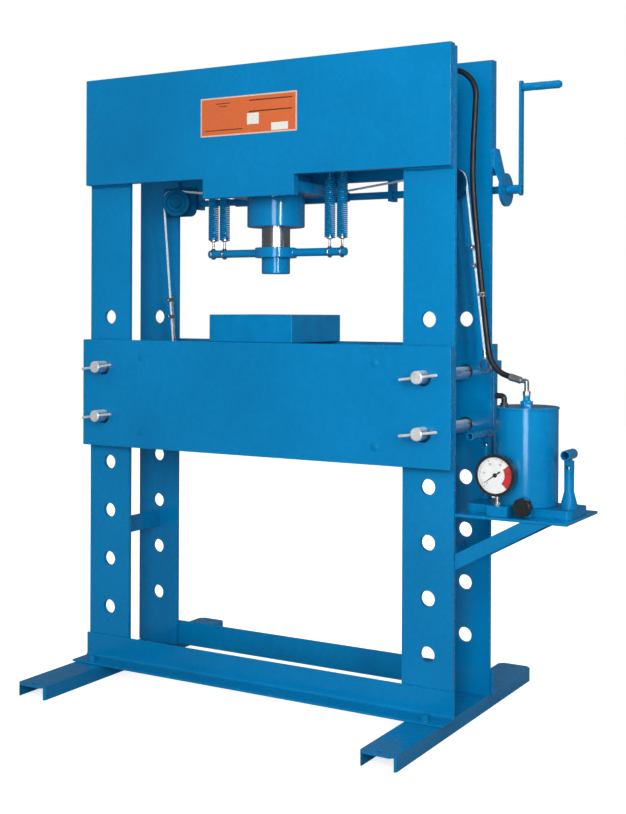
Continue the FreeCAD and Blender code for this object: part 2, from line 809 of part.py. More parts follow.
def pulley_stud(line, back_y):
    """The fixed stud that a guide pulley turns on, with a head in front, cut off at back_y."""
    half = pulley_width / 2
    front = line.pulley_centre() - line.normal * (half + hub_gap)
    stud = Part.makeCylinder(pulley_bore / 2, 3 * pulley_pitch_r, front, line.normal)
    head = Part.makeCylinder(pulley_bore, 4, front - line.normal * 4, line.normal)
    spacer_at = line.pulley_centre() + line.normal * (half + hub_gap)
    spacer = Part.makeCylinder(pulley_bore * 0.8, 3 * pulley_pitch_r, spacer_at, line.normal)
    solid = head.fuse([stud, spacer])
    reach = 4 * pulley_pitch_r
    front_room = box(front.x - reach, front.x + reach, -reach, back_y, 0, total_height)
    return solid.common(front_room).removeSplitter()


def winch_plate():
    """The plate on the left rear column that carries the left guide pulley."""
    x0, z1 = plate_left, plate_high
    x1, z0 = x0 + pulley_plate_width, z1 - pulley_plate_height
    y = column_inner - pulley_plate_thick
    plate = box(x0, x1, y, column_inner, z0, z1)
    corner = [e for e in plate.Edges
              if abs(e.CenterOfMass.x - x1) < 0.01 and abs(e.CenterOfMass.z - z0) < 0.01]
    return plate.makeFillet(pulley_plate_corner, corner)


def bed_lugs():
    """Bars welded to the rear bed plate, reaching forward to the ropes' eyes."""
    front = left_rope_end[1] - lug_reach
    left_x = left_rope_end[0]
    left = box(left_x - lug_width / 2, left_x + lug_width / 2, front, bed_inner,
               lug_low, lug_low + lug_height)
    edge = bed_width / 2
    right = box(edge, edge + lug_width, right_rope_end[1] - lug_reach, bed_face,
                lug_low, lug_low + lug_height)
    return [left, right]


def rope_eye(line):
    """A ring round the bed's lug, closed at the rope's end."""
    radius = Rope.eye_radius()
    end = line.at(line.end_s, line.eye_z)
    start = end - Y_AXIS * (eye_width / 2)
    inner = radius - eye_wall / 2
    return Part.makeCylinder(radius + eye_wall / 2, eye_width, start, Y_AXIS).cut(
        Part.makeCylinder(inner, eye_width, start, Y_AXIS))


# ---- pump ------------------------------------------------------------------------------------
def pump_tray():
    """A plain plate on the side of the right columns."""
    half = tray_depth / 2
    return box(tray_left, tray_right, -half, half, tray_top - tray_thick, tray_top)


def tray_braces():
    """Slanting flat bars from the columns to the tray's underside, front and back."""
    low_z = tray_top - tray_thick
    half = tray_depth / 2
    run = brace_reach
    rise = low_z - (brace_low + brace_height)
    lower_run = run * (low_z - brace_low) / rise
    outline = [(tray_left, -half, brace_low), (tray_left, -half, brace_low + brace_height),
               (tray_left + run, -half, low_z), (tray_left + lower_run, -half, low_z)]
    front = prism(outline, V(0, brace_thick, 0))
    return [front, mirrored_y(front)]


def pump_base():
    half = base_depth / 2
    block = box(base_left, base_right, -half, half, tray_top, base_top)
    upright = [e for e in block.Edges if abs(e.tangentAt(e.FirstParameter).z) > 0.9]
    block = block.makeFillet(base_corner_r, upright)
    for x, y, d in ((right_pump[0], right_pump[1], pump_foot_d), (left_pump[0], left_pump[1], 30)):
        block = block.cut(rod((x, y, tray_top - 1), Z_AXIS, d + 0.2, base_height + 2))
    return block


def reservoir():
    return rod((reservoir_x, 0, base_top), Z_AXIS, reservoir_d, reservoir_high - base_top)


def reservoir_lid():
    return rod((reservoir_x, 0, reservoir_high), Z_AXIS, lid_d, lid_thick)


def outlet_cap():
    """The blue screwed union on the lid that takes the hose's elbow."""
    low = reservoir_high + lid_thick
    union = hexagon((cap_x, cap_y, low), cap_d, cap_h)
    neck = rod((cap_x, cap_y, low + cap_h), Z_AXIS, cap_neck_d, cap_neck_h)
    return union.fuse([neck]).removeSplitter()


def breather():
    """A short elbow that lets air into the reservoir."""
    low = reservoir_high + lid_thick
    stem = polygon_bar((breather_x, breather_y, low), Z_AXIS, breather_d, 12,
                       breather_h + breather_d / 2)
    arm = polygon_bar((breather_x - breather_reach, breather_y, low + breather_h), X_AXIS,
                      breather_d, 12, breather_reach)
    return stem.fuse([arm]).removeSplitter()


def front_block(x0, x1, reach, height):
    """A block on the tray against the base's front, its upper part clear of the reservoir."""
    back = -base_depth / 2
    front = back - reach
    low = box(x0, x1, front, back, tray_top, base_top)
    high = box(x0, x1, front, -reservoir_d / 2 - block_gap, tray_top, tray_top + height)
    return low.fuse([high]).removeSplitter()


def gauge_block():
    """The block that carries the gauge, and the gauge's stem."""
    block = front_block(gauge_x - gauge_block_w * 0.4, gauge_x + gauge_block_w * 0.6,
                        gauge_block_d, gauge_block_h)
    stem_y = gauge_y + gauge_depth / 2
    stem_low = tray_top + gauge_block_h
    stem = rod((gauge_x, stem_y, stem_low), Z_AXIS, stem_d, gauge_z - gauge_d / 2 + 5 - stem_low)
    stem = stem.cut(rod((gauge_x, gauge_y, gauge_z), Y_AXIS, gauge_d, gauge_depth))
    collar = hexagon((gauge_x, stem_y, stem_low), stem_d * 1.5, 8)
    return block, stem.fuse([collar]).removeSplitter()


def gauge_case():
    """The round case, open at the front for the dial and its glass."""
    r = gauge_d / 2
    inner = dial_d / 2
    front = -bezel_lip
    return turned([(0, gauge_depth), (r, gauge_depth), (r, front), (inner, front),
                   (inner, dial_thick), (0, dial_thick)], (gauge_x, gauge_y, gauge_z), Y_AXIS)


def gauge_dial():
    return rod((gauge_x, gauge_y, gauge_z), Y_AXIS, dial_d - 0.2, dial_thick)


def gauge_needle():
    """A thin pointer with a tail and a round boss on the dial's centre."""
    y = gauge_y - needle_gap - needle_thick
    half = needle_width / 2
    flat = [(-needle_tail, y, -half), (-needle_tail, y, half), (0, y, half),
            (needle_length, y, 0.6), (needle_length, y, -0.6), (0, y, -half)]
    needle = prism(flat, V(0, needle_thick, 0))
    needle = needle.fuse([rod((0, y, 0), Y_AXIS, 9.0, needle_thick + needle_gap - 0.05)])
    needle.rotate(V(0, 0, 0), Y_AXIS, -needle_angle)
    needle.translate(V(gauge_x, 0, gauge_z))
    return needle.removeSplitter()


def gauge_glass():
    start = (gauge_x, gauge_y - bezel_lip + 0.5, gauge_z)
    return rod(start, Y_AXIS, dial_d - 0.2, glass_thick)


def release_valve():
    """The valve body that stands out of the base beside the gauge."""
    half = valve_body / 2
    return front_block(knob_x - half, knob_x + half, valve_reach, valve_body_h)


def knob_front():
    return -base_depth / 2 - valve_reach - knob_stem_gap - knob_thick


def release_knob():
    """The hand knob on its stem."""
    front = knob_front()
    knob = rod((knob_x, front, knob_z), Y_AXIS, knob_d, knob_thick)
    stem = rod((knob_x, front + knob_thick, knob_z), Y_AXIS, knob_stem_d, knob_stem_gap - 0.3)
    return knob.fuse([stem]).removeSplitter()


def pump_parts(spec, foot_d):
    """One hand pump: barrel with a forked top, plunger, and the lever socket on its pivot."""
    x, y, socket_z, front, back, tube_d, bore_d, barrel_d = spec
    pivot_z = socket_z - tube_d / 2 - pump_lug_reach
    barrel_high = pivot_z - pump_ear_r - 6
    bore = pump_plunger_d + 2 * bearing_clearance
    bore_low = base_top + pump_foot_h
    barrel = turned([
        (0, tray_top), (foot_d / 2, tray_top), (foot_d / 2, base_top + 8),
        (barrel_d / 2, base_top + pump_foot_h), (barrel_d / 2, barrel_high),
        (bore / 2, barrel_high), (bore / 2, bore_low),
        (0, bore_low)], (x, y, 0))
    inner = pump_lug_thick / 2 + pump_ear_gap
    for side in (-1, 1):
        start = min(side * inner, side * (inner + pump_ear_thick))
        ear = box(x + start, x + start + pump_ear_thick, y - pump_ear_r, y + pump_ear_r,
                  barrel_high - 3, pivot_z + pump_ear_r)
        barrel = barrel.fuse([ear])
    outer = inner + pump_ear_thick
    pivot = rod((x - outer, y, pivot_z), X_AXIS, pump_pivot_d, 2 * outer)
    barrel = barrel.fuse([pivot]).removeSplitter()

    socket = rod((x, y - front, socket_z), Y_AXIS, tube_d, front + back)
    lug = box(x - pump_lug_thick / 2, x + pump_lug_thick / 2, y - pump_ear_r, y + pump_ear_r,
              pivot_z, socket_z)
    lug = lug.fuse([rod((x - pump_lug_thick / 2, y, pivot_z), X_AXIS, 2 * pump_ear_r, pump_lug_thick)])
    socket = socket.fuse([lug]).removeSplitter()
    socket = socket.cut(rod((x, y - front - 1, socket_z), Y_AXIS, bore_d, front + back - 5))
    pivot_bore_d = pump_pivot_d + 2 * bearing_clearance
    socket = socket.cut(rod((x - outer, y, pivot_z), X_AXIS, pivot_bore_d, 2 * outer))

    top = pivot_z - pump_ear_r - pump_plunger_gap
    plunger = rod((x, y, bore_low + 30), Z_AXIS, pump_plunger_d, top - bore_low - 30)
    return barrel, plunger, socket


# ---- hose ------------------------------------------------------------------------------------
def hose():
    wire, radii = cord_path(hose_route)
    print("hose radii:", " ".join(f"{r:.0f}" for r in radii))
    start, second = V(*hose_route[0]), V(*hose_route[1])
    solid = tube_along(wire, start, (second - start).normalize(), hose_d, hose_sides)
    check_length("hose", solid, wire, hose_d, hose_sides)
    return solid


def run_direction(first, second):
    return (V(*hose_route[second]) - V(*hose_route[first])).normalize()


def hose_port():
    """The fitting on the cylinder's side that the hose leaves from."""
    out = run_direction(0, 1)
    mouth = V(*hose_route[0])
    nut = Part.makeCylinder(fitting_d / 2, fitting_length, mouth - out * fitting_length, out)
    inner = V(ram_x + cylinder_d / 2, 0, mouth.z - 4)
    stub = Part.makeCylinder(elbow_d / 2, mouth.x - inner.x - 8, inner, X_AXIS)
    return nut.fuse([stub]).cut(
        rod((ram_x, 0, cylinder_low), Z_AXIS, cylinder_d, cylinder_high - cylinder_low)).removeSplitter()


def hose_elbow():
    """The bright ferrule and bent pipe from the hose's end down to the union."""
    out = run_direction(-2, -1)
    end = V(*hose_route[-1])
    ferrule = Part.makeCylinder(fitting_d / 2 - 1, fitting_length, end, out)
    tip = end + out * fitting_length
    top = reservoir_high + lid_thick + cap_h + cap_neck_h
    knee = V(cap_x, cap_y, tip.z - 2)
    pipe, _ = cord_path([tuple(tip), tuple(knee), (cap_x, cap_y, top)], 0.8)
    bend = tube_along(pipe, tip, (knee - tip).normalize(), elbow_d, 12)
    return ferrule.fuse([bend]).removeSplitter()


# ---- the whole press -------------------------------------------------------------------------
def all_parts():
    parts = {}
    for side, side_name in ((-1, "left"), (1, "right")):
        parts[f"columns_{side_name}"] = [column(side, -1), column(side, 1)]
        for z, level in zip(pin_heights, ("lower", "upper")):
            parts[f"lock_pin_{side_name}_{level}"] = [lock_pin(side, z), pull_rod(side, z)]
    parts["feet"] = [foot(-1), foot(1)]
    parts["column_spacers"] = [column_spacer(-1), column_spacer(1)]
    parts["sills"] = [sill(), mirrored_y(sill())]

    parts["head_plate_front"] = head_plate()
    parts["head_plate_rear"] = mirrored_y(head_plate())
    parts["cylinder_seat"] = cylinder_seat()
    parts["spring_hangers"] = spring_hangers()

    parts["bed_plate_front"] = bed_plate()
    parts["bed_plate_rear"] = mirrored_y(bed_plate())
    parts["bed_ties"] = bed_ties()
    parts["bed_lugs"] = bed_lugs()
    parts["press_block"] = press_block()

    parts["cylinder_body"] = cylinder_body()
    parts["piston_rod"] = piston_rod()
    parts["return_crossbar"] = return_crossbar()
    parts["ram_nose"] = ram_nose()
    parts["spring_hooks_lower"] = spring_hooks_lower()
    parts["spring_hooks_upper"] = spring_hooks_upper()
    parts["return_springs"] = [coil(x, spring_low, spring_high) for x in spring_xs]
    print(f"spring wire to its next turn: {coil_gap():.2f} mm")

    left_line = Rope(left_drum_x, left_pulley, left_rope_end)
    right_line = Rope(right_drum_x, right_pulley, right_rope_end)
    parts["winch_shaft"] = winch_shaft()
    parts["winch_drums"] = winch_drums()
    parts["shaft_bearings"] = [bearing_hanger(hanger_left_x), bearing_hanger(hanger_right_x),
                               bearing_disc()]
    parts["crank_arm"] = crank_arm()
    parts["crank_grip"] = crank_grip()
    parts["winch_plate"] = winch_plate()
    parts["guide_pulley_left"] = guide_pulley(left_line)
    parts["guide_pulley_right"] = guide_pulley(right_line)
    parts["pulley_studs"] = [pulley_stud(left_line, column_inner - pulley_plate_thick),
                             pulley_stud(right_line, column_inner)]
    parts["rope_left"] = rope(left_line)
    parts["rope_right"] = rope(right_line)
    parts["rope_eyes"] = [rope_eye(left_line), rope_eye(right_line)]
    for name, line in (("left", left_line), ("right", right_line)):
        print(name, "pulley centre", tuple(line.pulley_centre()), "axis", tuple(line.normal))

    parts["pump_tray"] = pump_tray()
    parts["tray_braces"] = tray_braces()
    parts["pump_base"] = pump_base()
    parts["reservoir"] = reservoir()
    parts["reservoir_lid"] = reservoir_lid()
    parts["outlet_cap"] = outlet_cap()
    parts["breather"] = breather()
    block, parts["gauge_stem"] = gauge_block()
    parts["valve_blocks"] = [block, release_valve()]
    parts["gauge_case"] = gauge_case()
    parts["gauge_dial"] = gauge_dial()
    parts["gauge_needle"] = gauge_needle()
    parts["gauge_glass"] = gauge_glass()
    parts["release_knob"] = release_knob()
    barrels = []
    for name, spec, foot_d in (("right", right_pump, pump_foot_d), ("left", left_pump, 30)):
        barrel, plunger, socket = pump_parts(spec, foot_d)
        barrels.append(barrel)
        parts[f"pump_plunger_{name}"] = plunger
        parts[f"lever_socket_{name}"] = socket
    parts["pump_barrels"] = barrels

    parts["hose"] = hose()
    parts["hose_fittings"] = [hose_port(), hose_elbow()]
    return parts


def save(name, shape):
    """Writes one sub-part as STEP; a list is a group of separate solids."""
    if isinstance(shape, list):
        shape = Part.makeCompound(shape)
    shape.exportStep(os.path.join("parts", name + ".step"))


os.makedirs("parts", exist_ok=True)
for part_name, part_shape in all_parts().items():
    save(part_name, part_shape)
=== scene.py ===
"""A workshop press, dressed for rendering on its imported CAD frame.

Lengths are metres in the CAD frame: X along the width, Y from front to back, Z up from the floor.
"""

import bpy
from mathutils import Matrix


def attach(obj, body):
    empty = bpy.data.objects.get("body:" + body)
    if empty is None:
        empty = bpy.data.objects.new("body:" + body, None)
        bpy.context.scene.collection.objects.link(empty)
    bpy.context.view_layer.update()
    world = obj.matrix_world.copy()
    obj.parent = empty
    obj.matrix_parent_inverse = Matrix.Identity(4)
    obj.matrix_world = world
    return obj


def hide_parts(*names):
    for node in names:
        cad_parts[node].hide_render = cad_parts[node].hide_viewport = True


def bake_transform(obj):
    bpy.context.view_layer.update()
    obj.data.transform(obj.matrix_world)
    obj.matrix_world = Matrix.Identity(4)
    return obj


bl_info = {
    "name": "Workshop Press",
    "version": (1, 0, 0),
    "blender": (4, 5, 0),
    "location": "3D View > Sidebar > Press",
    "description": "Builds the visible pieces and finishes of a workshop press on its CAD frame",
    "category": "Add Mesh",
}

import math

import bmesh
import bpy
from bpy.props import FloatProperty, FloatVectorProperty, IntProperty, PointerProperty
from mathutils import Matrix, Vector

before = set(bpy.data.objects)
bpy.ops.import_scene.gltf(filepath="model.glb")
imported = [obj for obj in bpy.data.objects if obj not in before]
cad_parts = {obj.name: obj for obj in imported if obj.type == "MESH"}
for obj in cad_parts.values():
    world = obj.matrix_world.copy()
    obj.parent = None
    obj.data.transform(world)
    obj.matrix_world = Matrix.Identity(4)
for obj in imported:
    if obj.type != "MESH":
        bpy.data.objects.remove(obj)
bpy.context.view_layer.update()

X, Y, Z = Vector((1, 0, 0)), Vector((0, 1, 0)), Vector((0, 0, 1))
FACING = Matrix.Rotation(math.pi / 2, 4, "X")       # tips an upright shape so that its top faces the front
FRAME_BODY = "press_frame"
RAM_X, CROSSBAR_Z = -0.020, 1.298
HOLE_STEPS = 56


# ---- finishes --------------------------------------------------------------------------------
SHEEN = (0.10, 0.55, 1.0, 1.0)
BAR_LINES = (30.0, 6.0, 0.7, (1.0, 30.0, 1.0))
PIN_RUBS = (18.0, 6.0, 0.7, (20.0, 1.0, 20.0))

# Each row: noise and two colours or shares of the paint; noise and two roughnesses; noise, strength and
# depth of a bump; and the shader's plain numbers. A noise is its scale, detail, roughness and stretch.
FINISHES = {
    # glossy sprayed enamel: faint orange peel, broad unevenness and a little settled dust
    "blue_enamel": (((3.0, 4.0), 0.86, 1.05), ((45.0, 5.0, 0.65), 0.20, 0.34), ((420.0, 2.0), 0.10, 0.0004),
                    {"Specular IOR Level": 0.30, "Specular Tint": SHEEN, "Coat Weight": 0.65,
                     "Coat Roughness": 0.10}),
    # the same enamel over a rougher sand-cast or flame-cut skin
    "cast_enamel": (((22.0, 4.0), 0.80, 1.0), ((90.0, 4.0), 0.26, 0.42), ((260.0, 4.0, 0.6), 0.28, 0.0006),
                    {"Specular IOR Level": 0.30, "Specular Tint": SHEEN, "Coat Weight": 0.18,
                     "Coat Roughness": 0.22}),
    # enamel darkened to about half as painted shade, for the rope wheels and what carries them under the head
    "greasy_enamel": (((26.0, 5.0), 0.34, 0.62), ((70.0, 4.0), 0.36, 0.55), ((240.0, 4.0, 0.6), 0.25, 0.0006),
                      {"Specular IOR Level": 0.25, "Specular Tint": SHEEN}),
    # bright ground bar with fine lines round it and the odd dull patch
    "ground_steel": (((14.0,), (0.62, 0.63, 0.65), (0.80, 0.81, 0.83)), (BAR_LINES, 0.16, 0.34),
                     (BAR_LINES, 0.10, 0.0003), {"Metallic": 1.0}),
    # turned and zinc-washed pins: pale, satin, with a few rub marks
    "pin_steel": (((40.0, 4.0), (0.70, 0.71, 0.72), (0.90, 0.91, 0.92)), (PIN_RUBS, 0.22, 0.42),
                  (PIN_RUBS, 0.08, 0.0003), {"Metallic": 0.40, "Specular IOR Level": 0.6}),
    # ground pin shanks, paler and less mirror-like along the top as a painted highlight of the light from above
    "pin_shank_painted_highlight": (((40.0, 4.0), (0.62, 0.64, 0.67), (0.80, 0.81, 0.83)), (PIN_RUBS, 0.22, 0.42),
                  (PIN_RUBS, 0.08, 0.0003), {}),
    # zinc-plated fittings: soft grey, cloudy, a little warm
    "zinc_plate": (((60.0, 4.0), (0.50, 0.50, 0.49), (0.74, 0.74, 0.73)), ((140.0, 4.0), 0.24, 0.46),
                   ((500.0,), 0.12, 0.0003), {"Metallic": 1.0}),
    # galvanised strand, darker where grease lies between the wires
    "rope_wire": (((160.0, 5.0), (0.60, 0.70, 0.76), (0.90, 0.97, 1.0)), ((300.0,), 0.30, 0.50),
                  ((900.0,), 0.3, 0.0003), {"Metallic": 0.15}),
    # wrapped black rubber cover with a fine cloth print; its black is tinted faintly blue as painted reflection
    "hose_cover": (((30.0, 4.0), (0.005, 0.007, 0.011), (0.014, 0.018, 0.027)), ((120.0, 4.0), 0.34, 0.52),
                   ((650.0, 3.0), 0.25, 0.0004), {"Specular IOR Level": 0.45}),
    "black_moulding": (((40.0,), (0.008, 0.008, 0.009), (0.020, 0.020, 0.022)), ((160.0, 4.0), 0.26, 0.42),
                       ((900.0, 2.0), 0.18, 0.0003), {"Specular IOR Level": 0.5}),
    "case_enamel": (((35.0,), (0.010, 0.010, 0.011), (0.024, 0.024, 0.026)), ((150.0, 4.0), 0.16, 0.28),
                    ((500.0,), 0.06, 0.0003),
                    {"Specular IOR Level": 0.55, "Coat Weight": 0.4, "Coat Roughness": 0.08}),
    "dial_card": (((50.0,), (0.80, 0.80, 0.78), (0.88, 0.88, 0.87)), ((200.0,), 0.45, 0.60),
                  ((900.0,), 0.04, 0.0002), {}),
    "dial_glass": (((20.0,), (0.97, 0.98, 0.98), (1.0, 1.0, 1.0)), ((60.0,), 0.01, 0.04), None,
                   {"IOR": 1.45, "Transmission Weight": 1.0, "Alpha": 0.35}),
    "pale_floor": (((0.7, 3.0), (0.78, 0.78, 0.78), (0.82, 0.82, 0.82)), ((4.0, 4.0), 0.72, 0.86),
                   ((60.0,), 0.02, 0.0005),
                   {"Specular IOR Level": 0.1, "Emission Color": (1, 1, 1, 1), "Emission Strength": 0.74}),
}
# printed colours, a little uneven
for name, colour, rough in (
        ("black_ink", (0.015, 0.015, 0.017), 0.5), ("red_ink", (0.62, 0.02, 0.02), 0.5),
        ("label_orange", (0.70, 0.145, 0.040), 0.38), ("label_edge", (0.83, 0.55, 0.40), 0.42),
        ("label_dark", (0.10, 0.035, 0.02), 0.42), ("label_white", (0.82, 0.80, 0.74), 0.45)):
    FINISHES[name] = (((180.0, 4.0), tuple(c * 0.86 for c in colour), colour),
                      ((240.0,), rough - 0.08, rough + 0.08), ((800.0,), 0.05, 0.0002), {})


class Recipe:
    """A material's node tree, with short calls for the nodes that the finishes share."""

    def __init__(self, name):
        self.material = bpy.data.materials.new(name)
        self.material.use_nodes = True
        self.nodes = self.material.node_tree.nodes
        self.links = self.material.node_tree.links
        self.shader = self.nodes["Principled BSDF"]
        self.place = self.nodes.new("ShaderNodeTexCoord").outputs["Object"]

    def node(self, kind, source, socket, **values):
        """Adds a node fed by source, with plain numbers on its other sockets."""
        made = self.nodes.new("ShaderNode" + kind)
        self.links.new(source, made.inputs[socket])
        for name, value in values.items():
            made.inputs[name.replace("_", " ")].default_value = value
        return made

    def link(self, output, socket):
        self.links.new(output, self.shader.inputs[socket])

    def noise(self, scale, detail=3.0, rough=0.5, stretch=None):
        where = self.place
        if stretch:
            where = self.node("Mapping", where, "Vector", Scale=stretch).outputs["Vector"]
        made = self.node("TexNoise", where, "Vector", Scale=scale, Detail=detail, Roughness=rough)
        return made.outputs["Fac"]

    def span(self, value, low, high, from_low=0.3, from_high=0.7):
        return self.node("MapRange", value, "Value", From_Min=from_low, From_Max=from_high, To_Min=low,
                         To_Max=high).outputs["Result"]

    def blend(self, factor, first, second):
        node = self.nodes.new("ShaderNodeMix")
        node.data_type = "RGBA"
        self.links.new(factor, node.inputs[0])
        for socket, colour in ((6, first), (7, second)):
            node.inputs[socket].default_value = (*colour, 1.0)
        return node.outputs[2]


MADE = {}


def shade(colour):
    """A colour as it stands, or a share of the paint."""
    return colour if isinstance(colour, tuple) else [min(1.0, c * colour) for c in look_settings().paint]


def finish(name):
    """Makes a finish once, from its row in FINISHES, and hands out the same material after that."""
    if name in MADE:
        return MADE[name].material
    MADE[name] = look = Recipe(name)
    tones, dull, grain, values = FINISHES[name]
    patches = look.span(look.noise(*tones[0]), 0, 1)
    look.link(look.blend(patches, shade(tones[1]), shade(tones[2])), "Base Color")
    look.link(look.span(look.noise(*dull[0]), *dull[1:]), "Roughness")
    if grain:
        bump = look.node("Bump", look.noise(*grain[0]), "Height", Strength=grain[1], Distance=grain[2])
        look.link(bump.outputs["Normal"], "Normal")
    # painted highlight: the more a face of the shank points up, the less metallic and so the paler it is
    if name == "pin_shank_painted_highlight":
        normal = look.nodes.new("ShaderNodeNewGeometry").outputs["Normal"]
        painted_highlight_mask = look.node("SeparateXYZ", normal, 0).outputs["Z"]
        look.link(look.span(painted_highlight_mask, 0.92, 0.10, 0.45, 0.88), "Metallic")
    for socket, value in values.items():
        look.shader.inputs[socket].default_value = value
    return look.material


# ---- modelling helpers -----------------------------------------------------------------------
def look_settings():
    return bpy.context.scene.press


def soften(bm, width, segments=2, least=math.radians(32)):
    """Rounds the hard edges of a closed mesh."""
    edges = [e for e in bm.edges if len(e.link_faces) == 2 and e.calc_face_angle(0) > least]
    if edges and width > 0:
        bmesh.ops.bevel(bm, geom=edges, offset=width, offset_type="OFFSET", segments=segments,
                        profile=0.5, affect="EDGES", clamp_overlap=True, material=-1)
    return bm


def place(bm, matrix):
    bmesh.ops.transform(bm, matrix=matrix, verts=bm.verts)
    return bm


def turn_to(axis, start=Z):
    """The turn that brings start onto axis."""
    return start.rotation_difference(Vector(axis).normalized()).to_matrix().to_4x4()


def stood(bm, centre, axis):
    """Moves a shape made about Z to centre, with Z turned to axis."""
    return place(bm, Matrix.Translation(Vector(centre)) @ turn_to(axis))


def moved(bm, *by):
    return place(bm, Matrix.Translation(by))


def raised(bm, by):
    """Gives flat faces a thickness."""
    made = bmesh.ops.extrude_face_region(bm, geom=bm.faces[:])
    bmesh.ops.translate(bm, vec=by, verts=[g for g in made["geom"] if isinstance(g, bmesh.types.BMVert)])
    bmesh.ops.recalc_face_normals(bm, faces=bm.faces)
    return bm


def shape_of(holder):
    """A curve object's own shape; the object is removed."""
    mesh = bpy.data.meshes.new_from_object(holder)
    bm = bmesh.new()
    bm.from_mesh(mesh)
    curve = holder.data
    bpy.data.objects.remove(holder)
    bpy.data.curves.remove(curve)
    bpy.data.meshes.remove(mesh)
    return bm


def joined(*parts):
    """One bmesh out of several; each keeps its own shell."""
    whole = parts[0]
    for part in parts[1:]:
        mesh = bpy.data.meshes.new("part")
        part.to_mesh(mesh)
        part.free()
        whole.from_mesh(mesh)
        bpy.data.meshes.remove(mesh)
    return whole


def linked(name, data):
    obj = bpy.data.objects.new(name, data)
    bpy.context.collection.objects.link(obj)
    return obj


def piece(name, bm, body=FRAME_BODY, coat="blue_enamel", nodes=(), smooth=math.radians(30),
          weighted=True):
    """Makes the object, shades it, and ties it to its body and the nodes it stands for."""
    mesh = bpy.data.meshes.new(name)
    bm.to_mesh(mesh)
    bm.free()
    for poly in mesh.polygons:
        poly.use_smooth = True
    mesh.set_sharp_from_angle(angle=smooth)
    for one in [coat] if isinstance(coat, str) else coat:
        mesh.materials.append(finish(one))
    obj = linked(name, mesh)
    if weighted:
        normals = obj.modifiers.new("even_normals", "WEIGHTED_NORMAL")
        normals.keep_sharp = True
        normals.weight = 50
    if body:
        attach(obj, body)
    if nodes:
        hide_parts(*nodes)
    return obj


def spun(bm, steps):
    """Turns points and edges once about Z into a closed skin."""
    bmesh.ops.spin(bm, geom=bm.verts[:] + bm.edges[:], cent=(0, 0, 0), axis=(0, 0, 1), angle=2 * math.pi,
                   steps=steps, use_merge=True)
    bmesh.ops.remove_doubles(bm, verts=bm.verts, dist=1e-6)
    bmesh.ops.recalc_face_normals(bm, faces=bm.faces)
    return bm


def turned(profile, centre=(0, 0, 0), axis=Z, steps=64, edge=0.0):
    """Spins (radius, height) points, given in millimetres, about an axis through centre."""
    bm = bmesh.new()
    verts = [bm.verts.new((r * 0.001, 0, h * 0.001)) for r, h in profile]
    for pair in zip(verts, verts[1:]):
        bm.edges.new(pair)
    if profile[0][0] > 0 and profile[-1][0] > 0:
        bm.edges.new((verts[-1], verts[0]))
    return stood(soften(spun(bm, steps), edge), centre, axis)


def round_bar(radius, length, centre, axis, steps, edge=0.0):
    """A plain round bar, in millimetres, that starts at centre."""
    return turned([(0, 0), (radius, 0), (radius, length), (0, length)], centre, axis, steps, edge)


def bar(low, high, edge=0.0012):
    """A bar between two corners with rounded edges."""
    bm = bmesh.new()
    bmesh.ops.create_cube(bm, size=1.0)
    low, high = Vector(low), Vector(high)
    place(bm, Matrix.Translation((low + high) / 2) @ Matrix.Diagonal((*(high - low), 1.0)))
    return soften(bm, edge)


def flat_shape(outline, holes, thickness, edge=None):
    """A plate in the XZ plane with round holes (x, z, radius), from y = 0 to y = thickness."""
    bm = bmesh.new()
    verts = [bm.verts.new((x, 0, z)) for x, z in outline]
    edges = [bm.edges.new((a, b)) for a, b in zip(verts, verts[1:] + verts[:1])]
    for x, z, r in holes:
        turn = Matrix.Translation((x, 0, z)) @ FACING
        made = bmesh.ops.create_circle(bm, cap_ends=False, segments=HOLE_STEPS, radius=r, matrix=turn)
        edges += list({e for v in made["verts"] for e in v.link_edges})
    bmesh.ops.triangle_fill(bm, edges=edges, use_beauty=True, use_dissolve=False)
    inner = [e for e in bm.edges if len(e.link_faces) == 2]
    bmesh.ops.dissolve_limit(bm, angle_limit=math.radians(1), verts=[], edges=inner)
    return soften(raised(bm, (0, thickness, 0)), edge or look_settings().edge, least=math.radians(50))


def rounded(name, node, edge=None, segments=2, least=32, body=FRAME_BODY, coat="blue_enamel"):
    """The piece for one CAD node: its mesh with merged faces and rounded edges."""
    bm = bmesh.new()
    bm.from_mesh(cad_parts[node].data)
    bmesh.ops.remove_doubles(bm, verts=bm.verts, dist=2e-6)
    bmesh.ops.dissolve_limit(bm, angle_limit=math.radians(0.6), verts=bm.verts, edges=bm.edges)
    soften(bm, edge or look_settings().edge, segments, math.radians(least))
    return piece(name, bm, body, coat, nodes=[node])


def hex_head(centre, axis, across, height, edge=0.0006):
    """A hexagon with its corners turned down."""
    bm = bmesh.new()
    bmesh.ops.create_circle(bm, cap_ends=True, segments=6, radius=across / math.sqrt(3))
    return stood(soften(raised(bm, (0, 0, height)), edge), centre, axis)


def hex_bolt(centre):
    """An upright bolt head on its round washer."""
    centre = Vector(centre)
    return joined(round_bar(15, 3, centre, Z, 32, 0.0005),
                  hex_head(centre + Z * 0.003, Z, 0.024, 0.010),
                  turned([(0, 0), (9.12, 0), (7.92, 1.2), (0, 1.2)], centre + Z * 0.0128, Z, 32))


def weld_bead(first, last, radius, seed=0.0):
    """A rippled fillet of weld laid along a straight run."""
    bm = bmesh.new()
    first = Vector(first)
    run = Vector(last) - first
    count = max(2, int(run.length / (radius * 0.9)))
    for i in range(count):
        swell = radius * (1.0 + 0.16 * math.sin(12.9 * i + seed))
        at = Matrix.Translation(first + run * ((i + 0.5) / count))
        bmesh.ops.create_icosphere(bm, subdivisions=1, radius=swell,
                                   matrix=at @ turn_to(run, X) @ Matrix.Diagonal((0.95, 1, 1, 1)))
    return bm


def line_points(curve_object):
    """The points of a spline's own line, in order."""
    plain = curve_object.data.copy()
    plain.bevel_depth = 0.0
    bm = shape_of(bpy.data.objects.new("line", plain))
    return [v.co.copy() for v in bm.verts]


